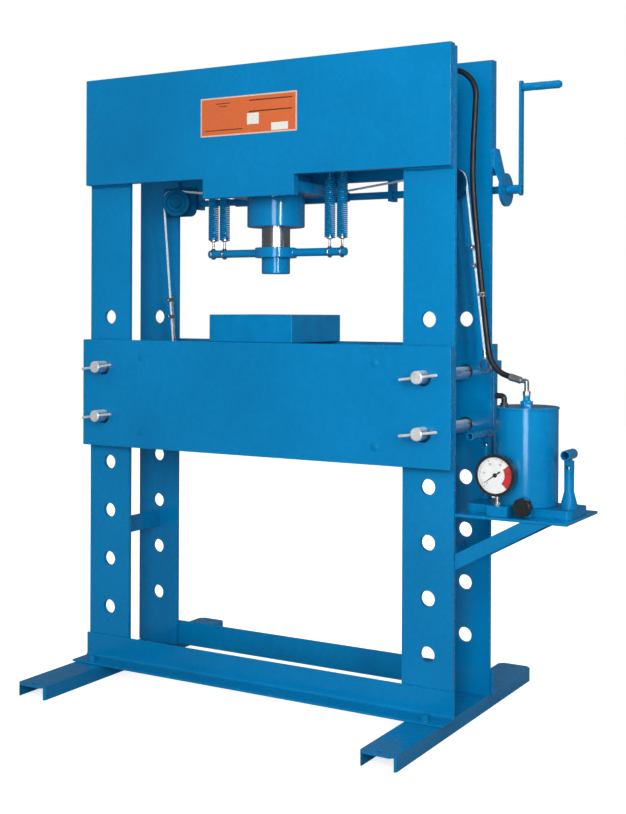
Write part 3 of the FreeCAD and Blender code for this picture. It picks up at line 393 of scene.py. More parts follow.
def wire_curve(name, kind, lines, radius, sides):
    """A round-section curve along lists of points."""
    curve = bpy.data.curves.new(name, "CURVE")
    curve.dimensions = "3D"
    curve.bevel_depth = radius
    curve.bevel_resolution = sides
    curve.use_fill_caps = True
    for points in lines:
        line = curve.splines.new(kind)
        line.points.add(len(points) - 1)
        for point, at in zip(line.points, points):
            point.co = (*at, 1.0)
    return curve


def spline(name, points, radius, resolution=16, sides=4):
    """An open NURBS line through its control points, with a round section."""
    curve = wire_curve(name, "NURBS", [points], radius, sides)
    line = curve.splines[0]
    line.order_u = 3
    line.use_endpoint_u = True
    curve.resolution_u = line.resolution_u = resolution
    return linked(name, curve)


def stations(points, step):
    """Evenly spaced points along a line, each with its direction, a steady side and its distance."""
    lengths = [0.0]
    for a, b in zip(points, points[1:]):
        lengths.append(lengths[-1] + (b - a).length)
    count = max(2, int(lengths[-1] / step) + 1)
    found, at = [], 0
    for i in range(count):
        want = lengths[-1] * i / (count - 1)
        while at < len(points) - 2 and lengths[at + 1] < want:
            at += 1
        share = (want - lengths[at]) / max(1e-9, lengths[at + 1] - lengths[at])
        found.append((points[at].lerp(points[at + 1], share), want))
    rows, side = [], None
    for i, (point, s) in enumerate(found):
        ahead = (found[min(i + 1, count - 1)][0] - found[max(i - 1, 0)][0]).normalized()
        if side is None:
            side = ahead.orthogonal().normalized()
        side = (side - ahead * side.dot(ahead)).normalized()
        rows.append((point, ahead, side, s))
    return rows


def dress(node, coat):
    """Gives a CAD node that stays a better material."""
    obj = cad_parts[node]
    if not obj.data.materials:
        obj.data.materials.append(None)
    for slot in obj.material_slots:
        slot.link = "OBJECT"
        slot.material = finish(coat)


# ---- the frame of the press ------------------------------------------------------------------
COLUMN_X, COLUMN_HALF, COLUMN_FACE, COLUMN_THICK = 0.5438, 0.0762, 0.131, 0.0127
PIN_HOLE = 0.0215
BED_FACE, BED_THICK = 0.1631, 0.0286
TIE_X = 0.398
PIN_LEVELS = {"lower": 0.8008, "upper": 0.9508}


def build_columns():
    for side, name in ((-1, "left"), (1, "right")):
        x0, x1 = side * COLUMN_X - COLUMN_HALF, side * COLUMN_X + COLUMN_HALF
        outline = [(x0, 0.040), (x1, 0.040), (x1, 1.832), (x0, 1.832)]
        holes = [(side * COLUMN_X, 0.204 + 0.150 * i, PIN_HOLE) for i in range(7)]
        bars = [moved(flat_shape(outline, holes, COLUMN_THICK), 0, y, 0)
                for y in (-COLUMN_FACE, COLUMN_FACE - COLUMN_THICK)]
        piece(f"column_bars_{name}", joined(*bars), nodes=[f"columns_{name}"])
    rounded("column_spacer_bars", "column_spacers")


def build_base():
    rounded("channel_feet", "feet", 0.0014, least=40)
    rounded("angle_sills", "sills", 0.0014, least=60)
    bolts = []
    for x in (-0.564, 0.564):
        for y in (-0.186, 0.186):
            bolts += [hex_bolt((x, y, 0.0464)), hex_head((x, y, 0.022), Z, 0.024, 0.013),
                      round_bar(8, 8, (x, y, 0.0143), Z, 24, 0.0008)]
    piece("sill_bolts", joined(*bolts))


def build_head():
    for end in ("front", "rear"):
        rounded(f"head_{end}", f"head_plate_{end}")
    rounded("cylinder_shelf", "cylinder_seat", least=50)
    rounded("spring_hanger_bars", "spring_hangers", least=50)


def build_bed():
    outline = [(-0.624, 0.7066), (0.624, 0.7066), (0.624, 1.0336), (-0.624, 1.0336)]
    holes = [(s * COLUMN_X, z, PIN_HOLE) for s in (-1, 1) for z in (0.7976, 0.9476)]
    for name, y in (("front", -BED_FACE), ("rear", BED_FACE - BED_THICK)):
        plate = moved(flat_shape(outline, holes, BED_THICK), 0, y, 0)
        piece(f"bed_{name}", plate, nodes=[f"bed_plate_{name}"])
    plugs = []
    for s in (-1, 1):
        for z in (0.7566, 0.9836):
            for face, axis in ((-BED_FACE, -Y), (BED_FACE, Y)):
                plugs.append(turned([(0, 2.6), (5, 2.3), (9, 1.4), (12.4, 0.1), (12.6, -0.6), (0, -0.6)],
                                    (s * TIE_X, face, z), axis, 32))
            plugs.append(round_bar(13, 268.4, (s * TIE_X, -0.1342, z), Y, 40))
    piece("bed_tie_bars", joined(*plugs), coat="cast_enamel", nodes=["bed_ties"])
    rounded("bed_rope_lugs", "bed_lugs")
    rounded("bed_block", "press_block", 0.0022, 3, 40, coat="cast_enamel")


def build_pins():
    for side, sx in (("left", -1), ("right", 1)):
        for level, z in PIN_LEVELS.items():
            front = -0.2081
            pin = turned([(0, 0), (14.5, 0), (18, 3), (18, 394.2), (14, 398.2), (0, 398.2)],
                         (sx * COLUMN_X, front, z), Y, 56, 0.0006)
            tilt = math.radians(8)
            along = Vector((math.cos(tilt), 0, math.sin(tilt)))
            start = Vector((sx * COLUMN_X, front + 0.012, z)) - along * 0.056
            pull = turned([(0, 0), (3.4, 0), (3.95, 0.8), (3.95, 111.2), (3.4, 112), (0, 112)],
                          start, along, 24)
            name = f"lock_pin_{side}_{level}"
            # the shank's finish carries a painted highlight, pale along its top
            made = piece(name + "_ground", joined(pin, pull), f"pin_{side}_{level}", ["pin_shank_painted_highlight", "pin_steel"],
                         [name])
            for poly in made.data.polygons:
                off_axis = math.hypot(poly.center.x - sx * COLUMN_X, poly.center.z - z) > 0.0185
                poly.material_index = int(off_axis or abs(poly.normal.y) > 0.6)


# ---- ram and springs -------------------------------------------------------------------------
def build_ram():
    cylinder = turned([(43, 1375), (57, 1375), (57, 1374), (84, 1374), (86, 1376), (86, 1496), (103, 1496),
                       (103, 1518), (86, 1518), (86, 1696), (82, 1700), (0, 1700), (0, 1514), (43, 1514)],
                      (RAM_X, 0, 0), Z, 96, 0.0006)
    piece("ram_cylinder", cylinder, nodes=["cylinder_body"])
    rod = turned([(0, 1283.2), (42.5, 1283.2), (42.5, 1503), (41, 1504), (0, 1504)], (RAM_X, 0, 0), Z, 96)
    piece("ram_rod", rod, "ram", "ground_steel", ["piston_rod"])
    collar = turned([(42.7, 1283), (61, 1283), (62.5, 1284.5), (62.5, 1311.5), (61, 1313), (42.7, 1313)],
                    (RAM_X, 0, 0), Z, 80)
    arms = [turned([(0, 0), (10.5, 0), (12, 1.5), (12, 181), (0, 181)], (x, 0, CROSSBAR_Z), axis, 40)
            for x, axis in ((-0.260, X), (0.220, -X))]
    beads = [turned([(11.8, 0), (15.4, 0), (14.6, 1.8), (12.2, 4.6), (11.8, 4.8)],
                    (RAM_X + s * 0.0620, 0, CROSSBAR_Z), s * X, 32) for s in (-1, 1)]
    piece("spring_crossbar", joined(collar, *arms, *beads), "ram", nodes=["return_crossbar"])
    tip = turned([(0, 1235), (40.3, 1235), (42.5, 1237.2), (42.5, 1283), (0, 1283)], (RAM_X, 0, 0), Z, 96)
    piece("ram_tip", tip, "ram", nodes=["ram_nose"])


SPRING_XS = (-0.246, -0.205, 0.165, 0.206)


def ring_of(centre, axis, major, minor, steps=40, sides=12):
    """A torus: a small circle spun about an axis."""
    bm = bmesh.new()
    turn = Matrix.Translation((major, 0, 0)) @ FACING
    bmesh.ops.create_circle(bm, cap_ends=False, segments=sides, radius=minor, matrix=turn)
    return stood(spun(bm, steps), centre, axis)


def wound(lines, radius, sides=3):
    """Round wire laid along lists of points, as one mesh."""
    bm = shape_of(bpy.data.objects.new("wire", wire_curve("wire", "POLY", lines, radius, sides)))
    bmesh.ops.remove_doubles(bm, verts=bm.verts, dist=1e-7)
    bmesh.ops.recalc_face_normals(bm, faces=bm.faces)
    return bm


def build_springs():
    look = look_settings()
    low, high, wire = 1.3370, 1.5300, 0.0050
    turns, mean = look.spring_turns, 0.0140
    coils = []
    for x in SPRING_XS:
        line = []
        for i in range(14 * turns + 1):
            share = i / (14 * turns)
            angle, height = 2 * math.pi * turns * share, low + wire / 2 + (high - low - wire) * share
            line.append((x + mean * math.cos(angle), mean * math.sin(angle), height))
        coils.append(line)
    coil = piece("return_coils", wound(coils, wire / 2), None, nodes=["return_springs"], weighted=False)
    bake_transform(coil)
    lower, upper = [], []
    for x in SPRING_XS:
        lower.append(ring_of((x, 0, CROSSBAR_Z), X, 0.0150, 0.0026))
        lower.append(turned([(0, 1313), (3, 1313), (3.5, 1314), (3.5, 1334), (10.5, 1337.2), (10.8, 1352),
                             (9, 1353), (0, 1353)], (x, 0, 0), Z, 24))
        upper.append(turned([(0, 1514), (9, 1514), (10.8, 1515), (10.5, 1530), (3.5, 1534), (3.5, 1603.8),
                             (0, 1603.8)], (x, 0, 0), Z, 24))
        upper.append(hex_head((x, 0, 1.604), Z, 0.013, 0.007))
    piece("spring_eyes", joined(*lower), "ram", "zinc_plate", ["spring_hooks_lower"])
    piece("spring_studs", joined(*upper), FRAME_BODY, "zinc_plate", ["spring_hooks_upper"])


# ---- winch -----------------------------------------------------------------------------------
SHAFT_Y, SHAFT_Z, GRIP_Z = 0.177, 1.4727, 1.7607
PULLEYS = {
    "left": (Vector((-0.4356, 0.0630826, 1.468)), Vector((-0.573791, 0.819001, 0.0))),
    "right": (Vector((0.5258, 0.0837703, 1.486)), Vector((0.225493, 0.974245, 0.0))),
}
ROPE_POINTS = {
    "left": [(-0.273, 0.177, 1.4915), (-0.39752, 0.08976, 1.50268), (-0.46912, 0.0396, 1.50911),
             (-0.46418, 0.04306, 1.42166), (-0.44, 0.06, 0.99367)],
    "right": [(0.123, 0.177, 1.4915), (0.48802, 0.09252, 1.52106), (0.55776, 0.07637, 1.52671),
              (0.5672, 0.07419, 1.45555), (0.6285, 0.06, 0.99367)],
}


def build_winch():
    shaft = turned([(0, 0), (10, 0), (11, 1), (11, 1128.6), (10, 1129.6), (0, 1129.6)],
                   (-0.439, SHAFT_Y, SHAFT_Z), X, 40)
    piece("winch_axle", shaft, "crank", nodes=["winch_shaft"])
    drums = [turned([(11.2, 0), (15, 0), (15, 51), (11.2, 51)], (x, SHAFT_Y, SHAFT_Z), X, 48, 0.0005)
             for x in (-0.280, 0.079)]
    piece("winch_sleeves", joined(*drums), "crank", nodes=["winch_drums"])
    rounded("winch_bearings", "shaft_bearings", least=42)
    hub = turned([(11.1, 0), (12.2, 0), (13, 0.8), (13, 36.5), (11.1, 36.5)], (0.646, SHAFT_Y, SHAFT_Z), X, 48)
    arm = crank_bar()
    stub = round_bar(6, 110.5, (0.6896, SHAFT_Y, GRIP_Z), X, 32)
    cap = turned([(0, 0), (9, 0), (9, 2.2), (6.5, 4), (0, 4)], (0.8011, SHAFT_Y, GRIP_Z), X, 32)
    tip = turned([(0, 0), (7, 0), (6.5, 0.9), (0, 0.9)], (0.6905, SHAFT_Y, SHAFT_Z), X, 32)
    piece("winch_handle", joined(hub, arm, stub, cap, tip), "crank", nodes=["crank_arm"])
    grip = turned([(6.1, 0), (9.5, 0), (11.2, 2), (11.5, 6), (11.1, 30), (11.5, 55), (11.1, 80), (11.5, 104),
                   (11.2, 108), (9.5, 110), (6.1, 110)], (0.69085, SHAFT_Y, GRIP_Z), X, 48)
    piece("handle_sleeve", grip, "grip", nodes=["crank_grip"])


def crank_bar():
    """The flat crank arm with rounded ends."""
    bm = bmesh.new()
    low, high, r, x0, x1 = 1.4547, 1.7797, 0.011, 0.6826, 0.6906
    bmesh.ops.create_cube(bm, size=1.0)
    size = Matrix.Diagonal((x1 - x0, 2 * r, high - low, 1.0))
    place(bm, Matrix.Translation(((x0 + x1) / 2, SHAFT_Y, (low + high) / 2)) @ size)
    ends = [e for e in bm.edges if abs((e.verts[1].co - e.verts[0].co).normalized().x) > 0.9]
    bmesh.ops.bevel(bm, geom=ends, offset=0.0088, offset_type="OFFSET", segments=8, profile=0.5, affect="EDGES",
                    clamp_overlap=True, material=-1)
    return soften(bm, 0.0008, 2, math.radians(50))


def build_pulleys():
    # the wheels, their studs and their plate take the darker enamel, painted shade of the head above them
    for side, (centre, axis) in PULLEYS.items():
        wheel = turned([(7.1, -8), (16, -8), (17, -5.5), (28, -5.5), (31, -8), (42, -8), (43, -7), (42.6, -4.6),
                        (38, -3.5), (34.3, -1.6), (34.2, 0), (34.3, 1.6), (38, 3.5), (42.6, 4.6), (43, 7),
                        (42, 8), (31, 8), (28, 5.5), (17, 5.5), (16, 8), (7.1, 8)], centre, axis, 72)
        piece(f"rope_wheel_{side}", wheel, f"pulley_{side}", "greasy_enamel", nodes=[f"guide_pulley_{side}"])
    rounded("wheel_studs", "pulley_studs", 0.0006, least=45, coat="greasy_enamel")
    rounded("wheel_plate", "winch_plate", least=45, coat="greasy_enamel")


TAIL = {"left": 0.176, "right": 0.328}
CLIPS = {"left": (0.112, 0.165), "right": (0.262, 0.314)}


def build_ropes():
    for side, points in ROPE_POINTS.items():
        route = shape_of(spline("route", points, 0.0))
        line = [v.co.copy() for v in route.verts]
        rows = stations(line, 0.0022)
        strands = []
        for k in range(6):
            strand = []
            for point, ahead, across, s in rows:
                angle = 2 * math.pi * (k / 6 + s / 0.046)
                out = across * math.cos(angle) + ahead.cross(across) * math.sin(angle)
                strand.append(point + out * 0.0023)
            strands.append(strand)
        rope = piece(f"wire_rope_{side}", wound(strands, 0.00122, 1), FRAME_BODY, "rope_wire",
                     [f"rope_{side}"], smooth=math.radians(80), weighted=False)
        end = Vector(points[-1])
        up = (Vector(points[-2]) - end).normalized()
        sleeve = turned([(3.6, 0), (5.2, 0), (5.8, 1.2), (5.8, 20.8), (5.2, 22), (3.6, 22)],
                        end + up * 0.004, up, 24)
        eye = turned([(14.4, -3.5), (17.7, -3.5), (18.8, -2.3), (18.8, 2.3), (17.7, 3.5), (14.4, 3.5)],
                     (end.x, end.y, 0.9745), Y, 48)
        aside = (X - up * X.dot(up)).normalized()
        tail = [end + up * height + aside * off
                for height, off in ((0.024, 0.0060), (0.060, 0.0076), (TAIL[side], 0.0076))]
        dead = wound([tail], 0.0034, 3)
        clips = []
        for height in CLIPS[side]:
            middle = end + up * height + aside * 0.0038
            saddle = place(bar((-0.0100, -0.0052, -0.0055), (0.0100, 0.0052, 0.0055), 0.0016),
                           Matrix.Translation(middle - Y * 0.0080) @ turn_to(aside, X))
            nuts = [hex_head(middle + aside * dx - Y * 0.0132, -Y, 0.0075, 0.0045, 0.0004)
                    for dx in (-0.0068, 0.0068)]
            clips.append(joined(saddle, *nuts, ring_of(middle, up, 0.0098, 0.0019, 28, 8)))
        fitting = piece(f"rope_end_{side}", joined(sleeve, eye, dead, *clips), FRAME_BODY, "zinc_plate")
    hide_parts("rope_eyes")


# ---- pump ------------------------------------------------------------------------------------
TANK_X, OUTLET_X = 0.775, 0.773


def build_tray():
    rounded("tray_plate", "pump_tray")
    rounded("tray_struts", "tray_braces")


def build_pump():
    rounded("pump_bed", "pump_base", 0.003, 3, 42, coat="cast_enamel")
    middle = (TANK_X, 0, 0)
    tank = turned([(0, 610), (81, 610), (83, 612), (83, 866), (0, 866)], middle, Z, 112)
    piece("oil_tank", tank, nodes=["reservoir"])
    lid = turned([(0, 866), (84.5, 866), (85.5, 867), (85.5, 870.6), (84.1, 872), (0, 872)], middle, Z, 112)
    piece("tank_lid", lid, nodes=["reservoir_lid"])
    union = joined(hex_head((OUTLET_X, 0, 0.872), Z, 0.030, 0.014, 0.001),
                   turned([(0, 13.6), (12.6, 13.6), (9.5, 18), (9.5, 29.4), (8.9, 30), (0, 30)],
                          (OUTLET_X, 0, 0.872), Z, 40))
    piece("tank_union", union, nodes=["outlet_cap"])
    stem = wound([[(0.712, -0.008, 0.872), (0.712, -0.008, 0.8895)] +
                  [(0.712 - 0.0085 * (1 - math.cos(a)), -0.008, 0.8895 + 0.0085 * math.sin(a))
                   for a in [math.radians(d) for d in range(10, 91, 10)]] +
                  [(0.688, -0.008, 0.898)]], 0.0078, 5)
    collar = hex_head((0.712, -0.008, 0.872), Z, 0.019, 0.007)
    mouth = turned([(5.5, 0), (8.6, 0), (8.6, 5), (5.5, 5)], (0.688, -0.008, 0.898), X, 32, 0.0005)
    piece("tank_vent", joined(stem, collar, mouth), FRAME_BODY, "black_moulding", ["breather"])
    rounded("front_blocks", "valve_blocks", 0.0022, 3, coat="cast_enamel")
    rounded("pump_bodies", "pump_barrels", 0.0009, 2, 42, coat="cast_enamel")
    for side in ("left", "right"):
        rounded(f"lever_tube_{side}", f"lever_socket_{side}", 0.0008, 2, 42, body=f"lever_{side}")
        dress(f"pump_plunger_{side}", "ground_steel")


def build_gauge():
    centre = Vector((0.732, -0.120, 0.697))
    case = turned([(0, 34), (46, 34), (52.5, 31), (54.2, 24), (54.2, 4), (55.5, 3), (55.5, -3.6), (54.2, -5),
                   (48.4, -5), (47.4, -3.9), (47.4, -2.6), (49.5, -2.6), (49.5, 1.5), (0, 1.5)], centre, Y, 96)
    piece("gauge_shell", case, FRAME_BODY, "case_enamel", ["gauge_case"])
    dial = round_bar(49.3, 1.45, centre, Y, 96)
    piece("gauge_card", dial, FRAME_BODY, "dial_card", ["gauge_dial"])
    marks = []
    middle = Vector((centre.x, centre.y - 0.00018, centre.z))
    for i in range(51):
        angle = math.radians(225 - 270 * i / 50)
        big = i % 10 == 0
        long = 0.0062 if big else 0.0040 if i % 5 == 0 else 0.0026
        wide = 0.0011 if big else 0.0006
        tick = bar((-long / 2, -0.00016, -wide / 2), (long / 2, 0.00018, wide / 2), 0)
        at = Vector((math.cos(angle), 0, math.sin(angle))) * (0.0445 - long / 2)
        marks.append(moved(place(tick, Matrix.Rotation(-angle, 4, "Y")), *(middle + at)))
    for i in range(6):
        angle = math.radians(225 - 54 * i)
        at = Vector((math.cos(angle), 0, math.sin(angle))) * 0.0315
        marks.append(numeral(str(i * 10), 0.0075, middle + at))
    piece("gauge_marks", joined(*marks), FRAME_BODY, "black_ink", weighted=False)
    arc = bmesh.new()
    first, last = math.radians(36), math.radians(-47)
    verts = [arc.verts.new((r * math.cos(first), 0, r * math.sin(first))) for r in (0.0268, 0.0474)]
    arc.edges.new(verts)
    bmesh.ops.spin(arc, geom=arc.verts[:] + arc.edges[:], cent=(0, 0, 0), axis=(0, 1, 0), angle=first - last,
                   steps=20)
    place(raised(arc, (0, 0.00014, 0)), Matrix.Translation((centre.x, centre.y - 0.00014, centre.z)))
    piece("gauge_red_band", arc, FRAME_BODY, "red_ink", weighted=False)
    turn = Matrix.Translation((centre.x, 0, centre.z)) @ Matrix.Rotation(-math.radians(215), 4, "Y")
    hand = flat_shape([(-0.017, -0.0026), (-0.006, -0.0014), (0.0, -0.0017), (0.037, -0.0006), (0.038, 0.0),
                       (0.037, 0.0006), (0.0, 0.0017), (-0.006, 0.0014), (-0.017, 0.0026), (-0.018, 0.0)], [],
                      0.0008, 0.0001)
    place(hand, turn @ Matrix.Translation((0, centre.y - 0.0019, 0)))
    boss = turned([(0, -0.9), (4.6, -0.9), (5.8, 0), (5.8, 1.8), (0, 1.8)],
                  (centre.x, centre.y - 0.00195, centre.z), Y, 32)
    piece("gauge_hand", joined(hand, boss), "needle", "black_ink", ["gauge_needle"])
    glass = round_bar(49.3, 1.9, centre - Y * 0.0024, Y, 96)
    piece("gauge_window", glass, FRAME_BODY, "dial_glass", ["gauge_glass"])
    stem = joined(turned([(0, 617), (6, 617), (6, 644.5), (0, 644.5)], (centre.x, -0.103, 0), Z, 32),
                  hex_head((centre.x, -0.103, 0.617), Z, 0.018, 0.008, 0.0008))
    piece("gauge_stalk", stem, FRAME_BODY, "zinc_plate", ["gauge_stem"])


def numeral(text, size, at):
    """A printed number standing on the dial."""
    curve = bpy.data.curves.new("numeral", "FONT")
    curve.body = text
    curve.size = size
    curve.align_x, curve.align_y = "CENTER", "CENTER"
    curve.extrude = 0.00012
    curve.resolution_u = 3
    bm = shape_of(bpy.data.objects.new("numeral", curve))
    return place(bm, Matrix.Translation(at) @ FACING)


def build_knob():
    front = -0.118
    bm = bmesh.new()
    bmesh.ops.create_circle(bm, cap_ends=True, segments=96, radius=0.025)
    for v in bm.verts:
        angle = math.atan2(v.co.y, v.co.x)
        v.co *= 1.0 - 0.075 * (0.5 - 0.5 * math.cos(8 * angle)) ** 1.5
    soften(raised(bm, (0, 0, 0.020)), 0.0028, 3, math.radians(60))
    place(bm, Matrix.Translation((0.804, front + 0.020, 0.617)) @ FACING)
    dish = turned([(0, -0.6), (9, -0.6), (11, -1.5), (13.5, -1.5), (15, 0.2), (15, 1), (0, 1)],
                  (0.804, front + 0.0016, 0.617), Y, 48)
    stem = round_bar(7, 3.7, (0.804, front + 0.020, 0.617), Y, 32)
    piece("valve_knob", joined(bm, dish, stem), "knob", "black_moulding", ["release_knob"])


# ---- hose ------------------------------------------------------------------------------------
HOSE_POINTS = [
    (0.112, 0.0, 1.698), (0.250, -0.005, 1.708), (0.380, -0.005, 1.731), (0.480, -0.005, 1.770),
    (0.502, -0.005, 1.779), (0.538, -0.005, 1.793), (0.577, -0.004, 1.790), (0.609, -0.003, 1.767),
    (0.625, -0.002, 1.732), (0.6225, -0.0017, 1.690), (0.614, 0.0, 1.550), (0.615, 0.0, 1.460),
    (0.627, 0.0, 1.335), (0.644, 0.0, 1.173), (0.661, 0.0, 1.0336), (0.668, 0.0, 0.993),
    (0.695, 0.0, 0.960), (0.7306, 0.0, 0.9481), (0.738, 0.0, 0.946),
]


def build_hose():
    look = look_settings()
    hose = spline("pressure_hose", HOSE_POINTS, look.hose_radius, 24, 5)
    hose.data.materials.append(finish("hose_cover"))
    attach(hose, FRAME_BODY)
    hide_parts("hose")
    line = line_points(hose)
    start, second = Vector(HOSE_POINTS[0]), Vector(HOSE_POINTS[1])
    out = (second - start).normalized()
    port = joined(turned([(0, -22), (9.5, -22), (10.5, -21), (10.5, -8), (9.6, -7.4), (9.6, 13), (9.0, 14),
                          (8.2, 14), (8.2, 1), (0, 1)], start, out, 40),
                  hex_head(start - out * 0.021, out, 0.020, 0.010),
                  round_bar(6.5, 42, (0.062, 0, 1.694), X, 32))
    end, before = Vector(HOSE_POINTS[-1]), Vector(HOSE_POINTS[-2])
    back = (before - end).normalized()
    ferrule = turned([(0, -22), (6.8, -22), (7.6, -20), (9.5, -19), (9.5, -1), (9.9, 0), (9.9, 13), (9.2, 14),
                      (8.2, 14), (8.2, 1), (0, 1)], end, back, 40)
    tip = end - back * 0.020
    run = [tip, tip.lerp(Vector((OUTLET_X, 0, tip.z - 0.001)), 0.86), (OUTLET_X, 0, tip.z - 0.003),
           (OUTLET_X, 0, 0.918), (OUTLET_X, 0, 0.900)]
    pipe = shape_of(spline("bend", run, 0.0065, 16, 5))
    nut = hex_head((OUTLET_X, 0, 0.9005), Z, 0.0185, 0.012)
    at, along = Vector((0.6445, 0, 1.172)), Vector((-0.112, 0, 0.9937))
    tie = joined(turned([(8.2, -6), (9.5, -6), (9.5, 6), (8.2, 6)], at, along, 40, 0.0003),
                 moved(bar((-0.0030, -0.0170, -0.0055), (0.0030, -0.0085, 0.0055), 0.0008), *at),
                 hex_head(at + Vector((0.0030, -0.0130, 0)), X, 0.0085, 0.0045, 0.0004),
                 hex_head(at - Vector((0.0030, 0.0130, 0)), -X, 0.0085, 0.0045, 0.0004))
    fittings = piece("hose_ends", joined(port, ferrule, pipe, nut, tie), FRAME_BODY, "zinc_plate",
                     ["hose_fittings"])


# ---- label -----------------------------------------------------------------------------------
def build_label():
    """A plain plate label: an orange field with a pale border and blank panels."""
    face = -0.1596
    x0, x1, z0, z1 = -0.183, 0.147, 1.634, 1.747
    back = bar((x0, face - 0.0006, z0), (x1, face + 0.0002, z1), 0.0003)
    piece("label_border", back, coat="label_edge")
    field = bar((x0 + 0.004, face - 0.0009, z0 + 0.004), (x1 - 0.004, face - 0.0004, z1 - 0.004), 0.0002)
    piece("label_field", field, coat="label_orange")

    def printed(*spots):
        """Thin bars, each from its corner, width and height, that stand a hair off the field."""
        return joined(*[bar((x, face - 0.0011, z), (x + w, face - 0.0006, z + h), 0.0001)
                        for x, z, w, h in spots])

    panels = printed((-0.020, 1.662, 0.040, 0.032), (0.062, 1.640, 0.056, 0.022))
    piece("label_panels", panels, coat="label_white")
    strips = printed((-0.014, 1.729, 0.146, 0.0035), (-0.014, 1.697, 0.146, 0.0035),
                     (-0.168, 1.650, 0.132, 0.0025), (-0.128, 1.727, 0.048, 0.0025),
                     (-0.118, 1.719, 0.030, 0.0020))
    piece("label_lines", strips, coat="label_dark")


# ---- welds -----------------------------------------------------------------------------------
def build_welds():
    runs = [weld_bead((s * COLUMN_X - 0.068, y, 0.0405), (s * COLUMN_X + 0.068, y, 0.0405), 0.0028, s + y)
            for s in (-1, 1) for y in (-0.131, 0.131)]
    for y in (-0.125, 0.125):
        runs.append(weld_bead((0.6205, y * 0.97, 0.442), (0.6205, y * 0.97, 0.478), 0.0028))
        runs.append(weld_bead((0.6205, y, 0.5795), (0.6205, y * 0.2, 0.5795), 0.0030))
    runs += [weld_bead((x - 0.016, -0.1302, 1.590), (x + 0.016, -0.1302, 1.590), 0.0026)
             for x in (-0.2255, 0.1855)]
    runs += [weld_bead((low, y * 0.1325, 1.5108), (high, y * 0.1325, 1.5108), 0.0058, low * 9)
             for low, high in ((-0.615, -0.472), (0.472, 0.615)) for y in (-1, 1)]
    piece("weld_beads", joined(*runs), coat="cast_enamel", smooth=math.radians(80), weighted=False)


# ---- stage -----------------------------------------------------------------------------------
def pale_floor():
    """Bright to the camera, and a dim grey to every other ray, so that it throws little light upwards."""
    finish("pale_floor")
    look = MADE["pale_floor"]
    dim, rays, mix = (look.nodes.new(kind) for kind in
                      ("ShaderNodeBsdfDiffuse", "ShaderNodeLightPath", "ShaderNodeMixShader"))
    dim.inputs["Color"].default_value = (0.22, 0.25, 0.28, 1.0)
    look.links.new(rays.outputs["Is Camera Ray"], mix.inputs[0])
    look.links.new(dim.outputs[0], mix.inputs[1])
    look.links.new(look.shader.outputs[0], mix.inputs[2])
    look.links.new(mix.outputs[0], look.nodes["Material Output"].inputs["Surface"])
    return look.material


def soft_light(name, at, aim, width, height, watts, unseen_by=None):
    """An area light that the camera and, where named, one kind of ray don't see."""
    lamp = bpy.data.lights.new(name, "AREA")
    lamp.shape = "RECTANGLE"
    lamp.size, lamp.size_y, lamp.energy = width, height, watts
    obj = linked(name, lamp)
    obj.location = at
    obj.rotation_euler = (Vector(aim) - Vector(at)).to_track_quat("-Z", "Y").to_euler()
    obj.visible_camera = False
    if unseen_by:
        setattr(obj, "visible_" + unseen_by, False)
    return lamp


def build_stage():
    scene = bpy.context.scene
    bm = bmesh.new()
    bmesh.ops.create_grid(bm, x_segments=1, y_segments=1, size=9.0)
    mesh = bpy.data.meshes.new("studio_floor")
    bm.to_mesh(mesh)
    bm.free()
    mesh.materials.append(pale_floor())
    linked("studio_floor", mesh)

    world = bpy.data.worlds.new("studio")
    scene.world = world
    world.use_nodes = True
    nodes, links = world.node_tree.nodes, world.node_tree.links
    dimmed, clear = nodes["Background"], nodes.new("ShaderNodeBackground")
    for white in (dimmed, clear):
        white.inputs["Color"].default_value = (1, 1, 1, 1)
    rays, mix = nodes.new("ShaderNodeLightPath"), nodes.new("ShaderNodeMixShader")
    dimmer = nodes.new("ShaderNodeMapRange")
    dimmer.inputs["To Min"].default_value = look_settings().ambient
    dimmer.inputs["To Max"].default_value = 0.09
    links.new(rays.outputs["Is Glossy Ray"], dimmer.inputs["Value"])
    links.new(dimmer.outputs["Result"], dimmed.inputs["Strength"])
    links.new(rays.outputs["Is Camera Ray"], mix.inputs[0])
    links.new(dimmed.outputs[0], mix.inputs[1])
    links.new(clear.outputs[0], mix.inputs[2])
    links.new(mix.outputs[0], nodes["World Output"].inputs["Surface"])

    soft_light("key_box", (2.02, -4.57, 2.0), (0.1, 0, 1.2), 1.30, 3.4, 122, "glossy")
    soft_light("sheen_strip", (2.02, -4.57, 1.15), (0.1, 0, 1.15), 1.30, 2.0, 66, "diffuse")
    soft_light("fill_box", (-0.1, -4.9, 2.3), (0.0, 0, 1.2), 1.2, 2.0, 24, "glossy")
    edge = soft_light("edge_strip", (3.4, -2.9, 2.0), (0.6, 0, 1.35), 0.4, 1.4, 4.5)
    edge.spread = math.radians(40)
    soft_light("rear_box", (-1.6, 4.6, 2.4), (0, 0, 1.1), 1.6, 2.2, 46, "glossy")
    soft_light("top_box", (0.2, -0.6, 4.4), (0, 0, 0.5), 2.4, 2.0, 5)

    camera = bpy.data.cameras.new("studio_camera")
    camera.sensor_width = 36.0
    camera.sensor_fit = "AUTO"
    camera.lens = 56.91
    camera.shift_x, camera.shift_y = -0.0004, -0.1165
    camera.clip_end = 60.0
    eye = linked("studio_camera", camera)
    yaw, pitch, roll = math.radians(30.199), math.radians(0.113), math.radians(0.229)
    eye.matrix_world = (Matrix.Translation((2.01302, -3.26948, 1.12895)) @ Matrix.Rotation(yaw, 4, "Z")
                        @ Matrix.Rotation(math.pi / 2 - pitch, 4, "X") @ Matrix.Rotation(roll, 4, "Z"))
    scene.camera = eye
    scene.view_settings.view_transform = "Standard"
    scene.view_settings.look = "None"
    scene.view_settings.exposure = 0.0


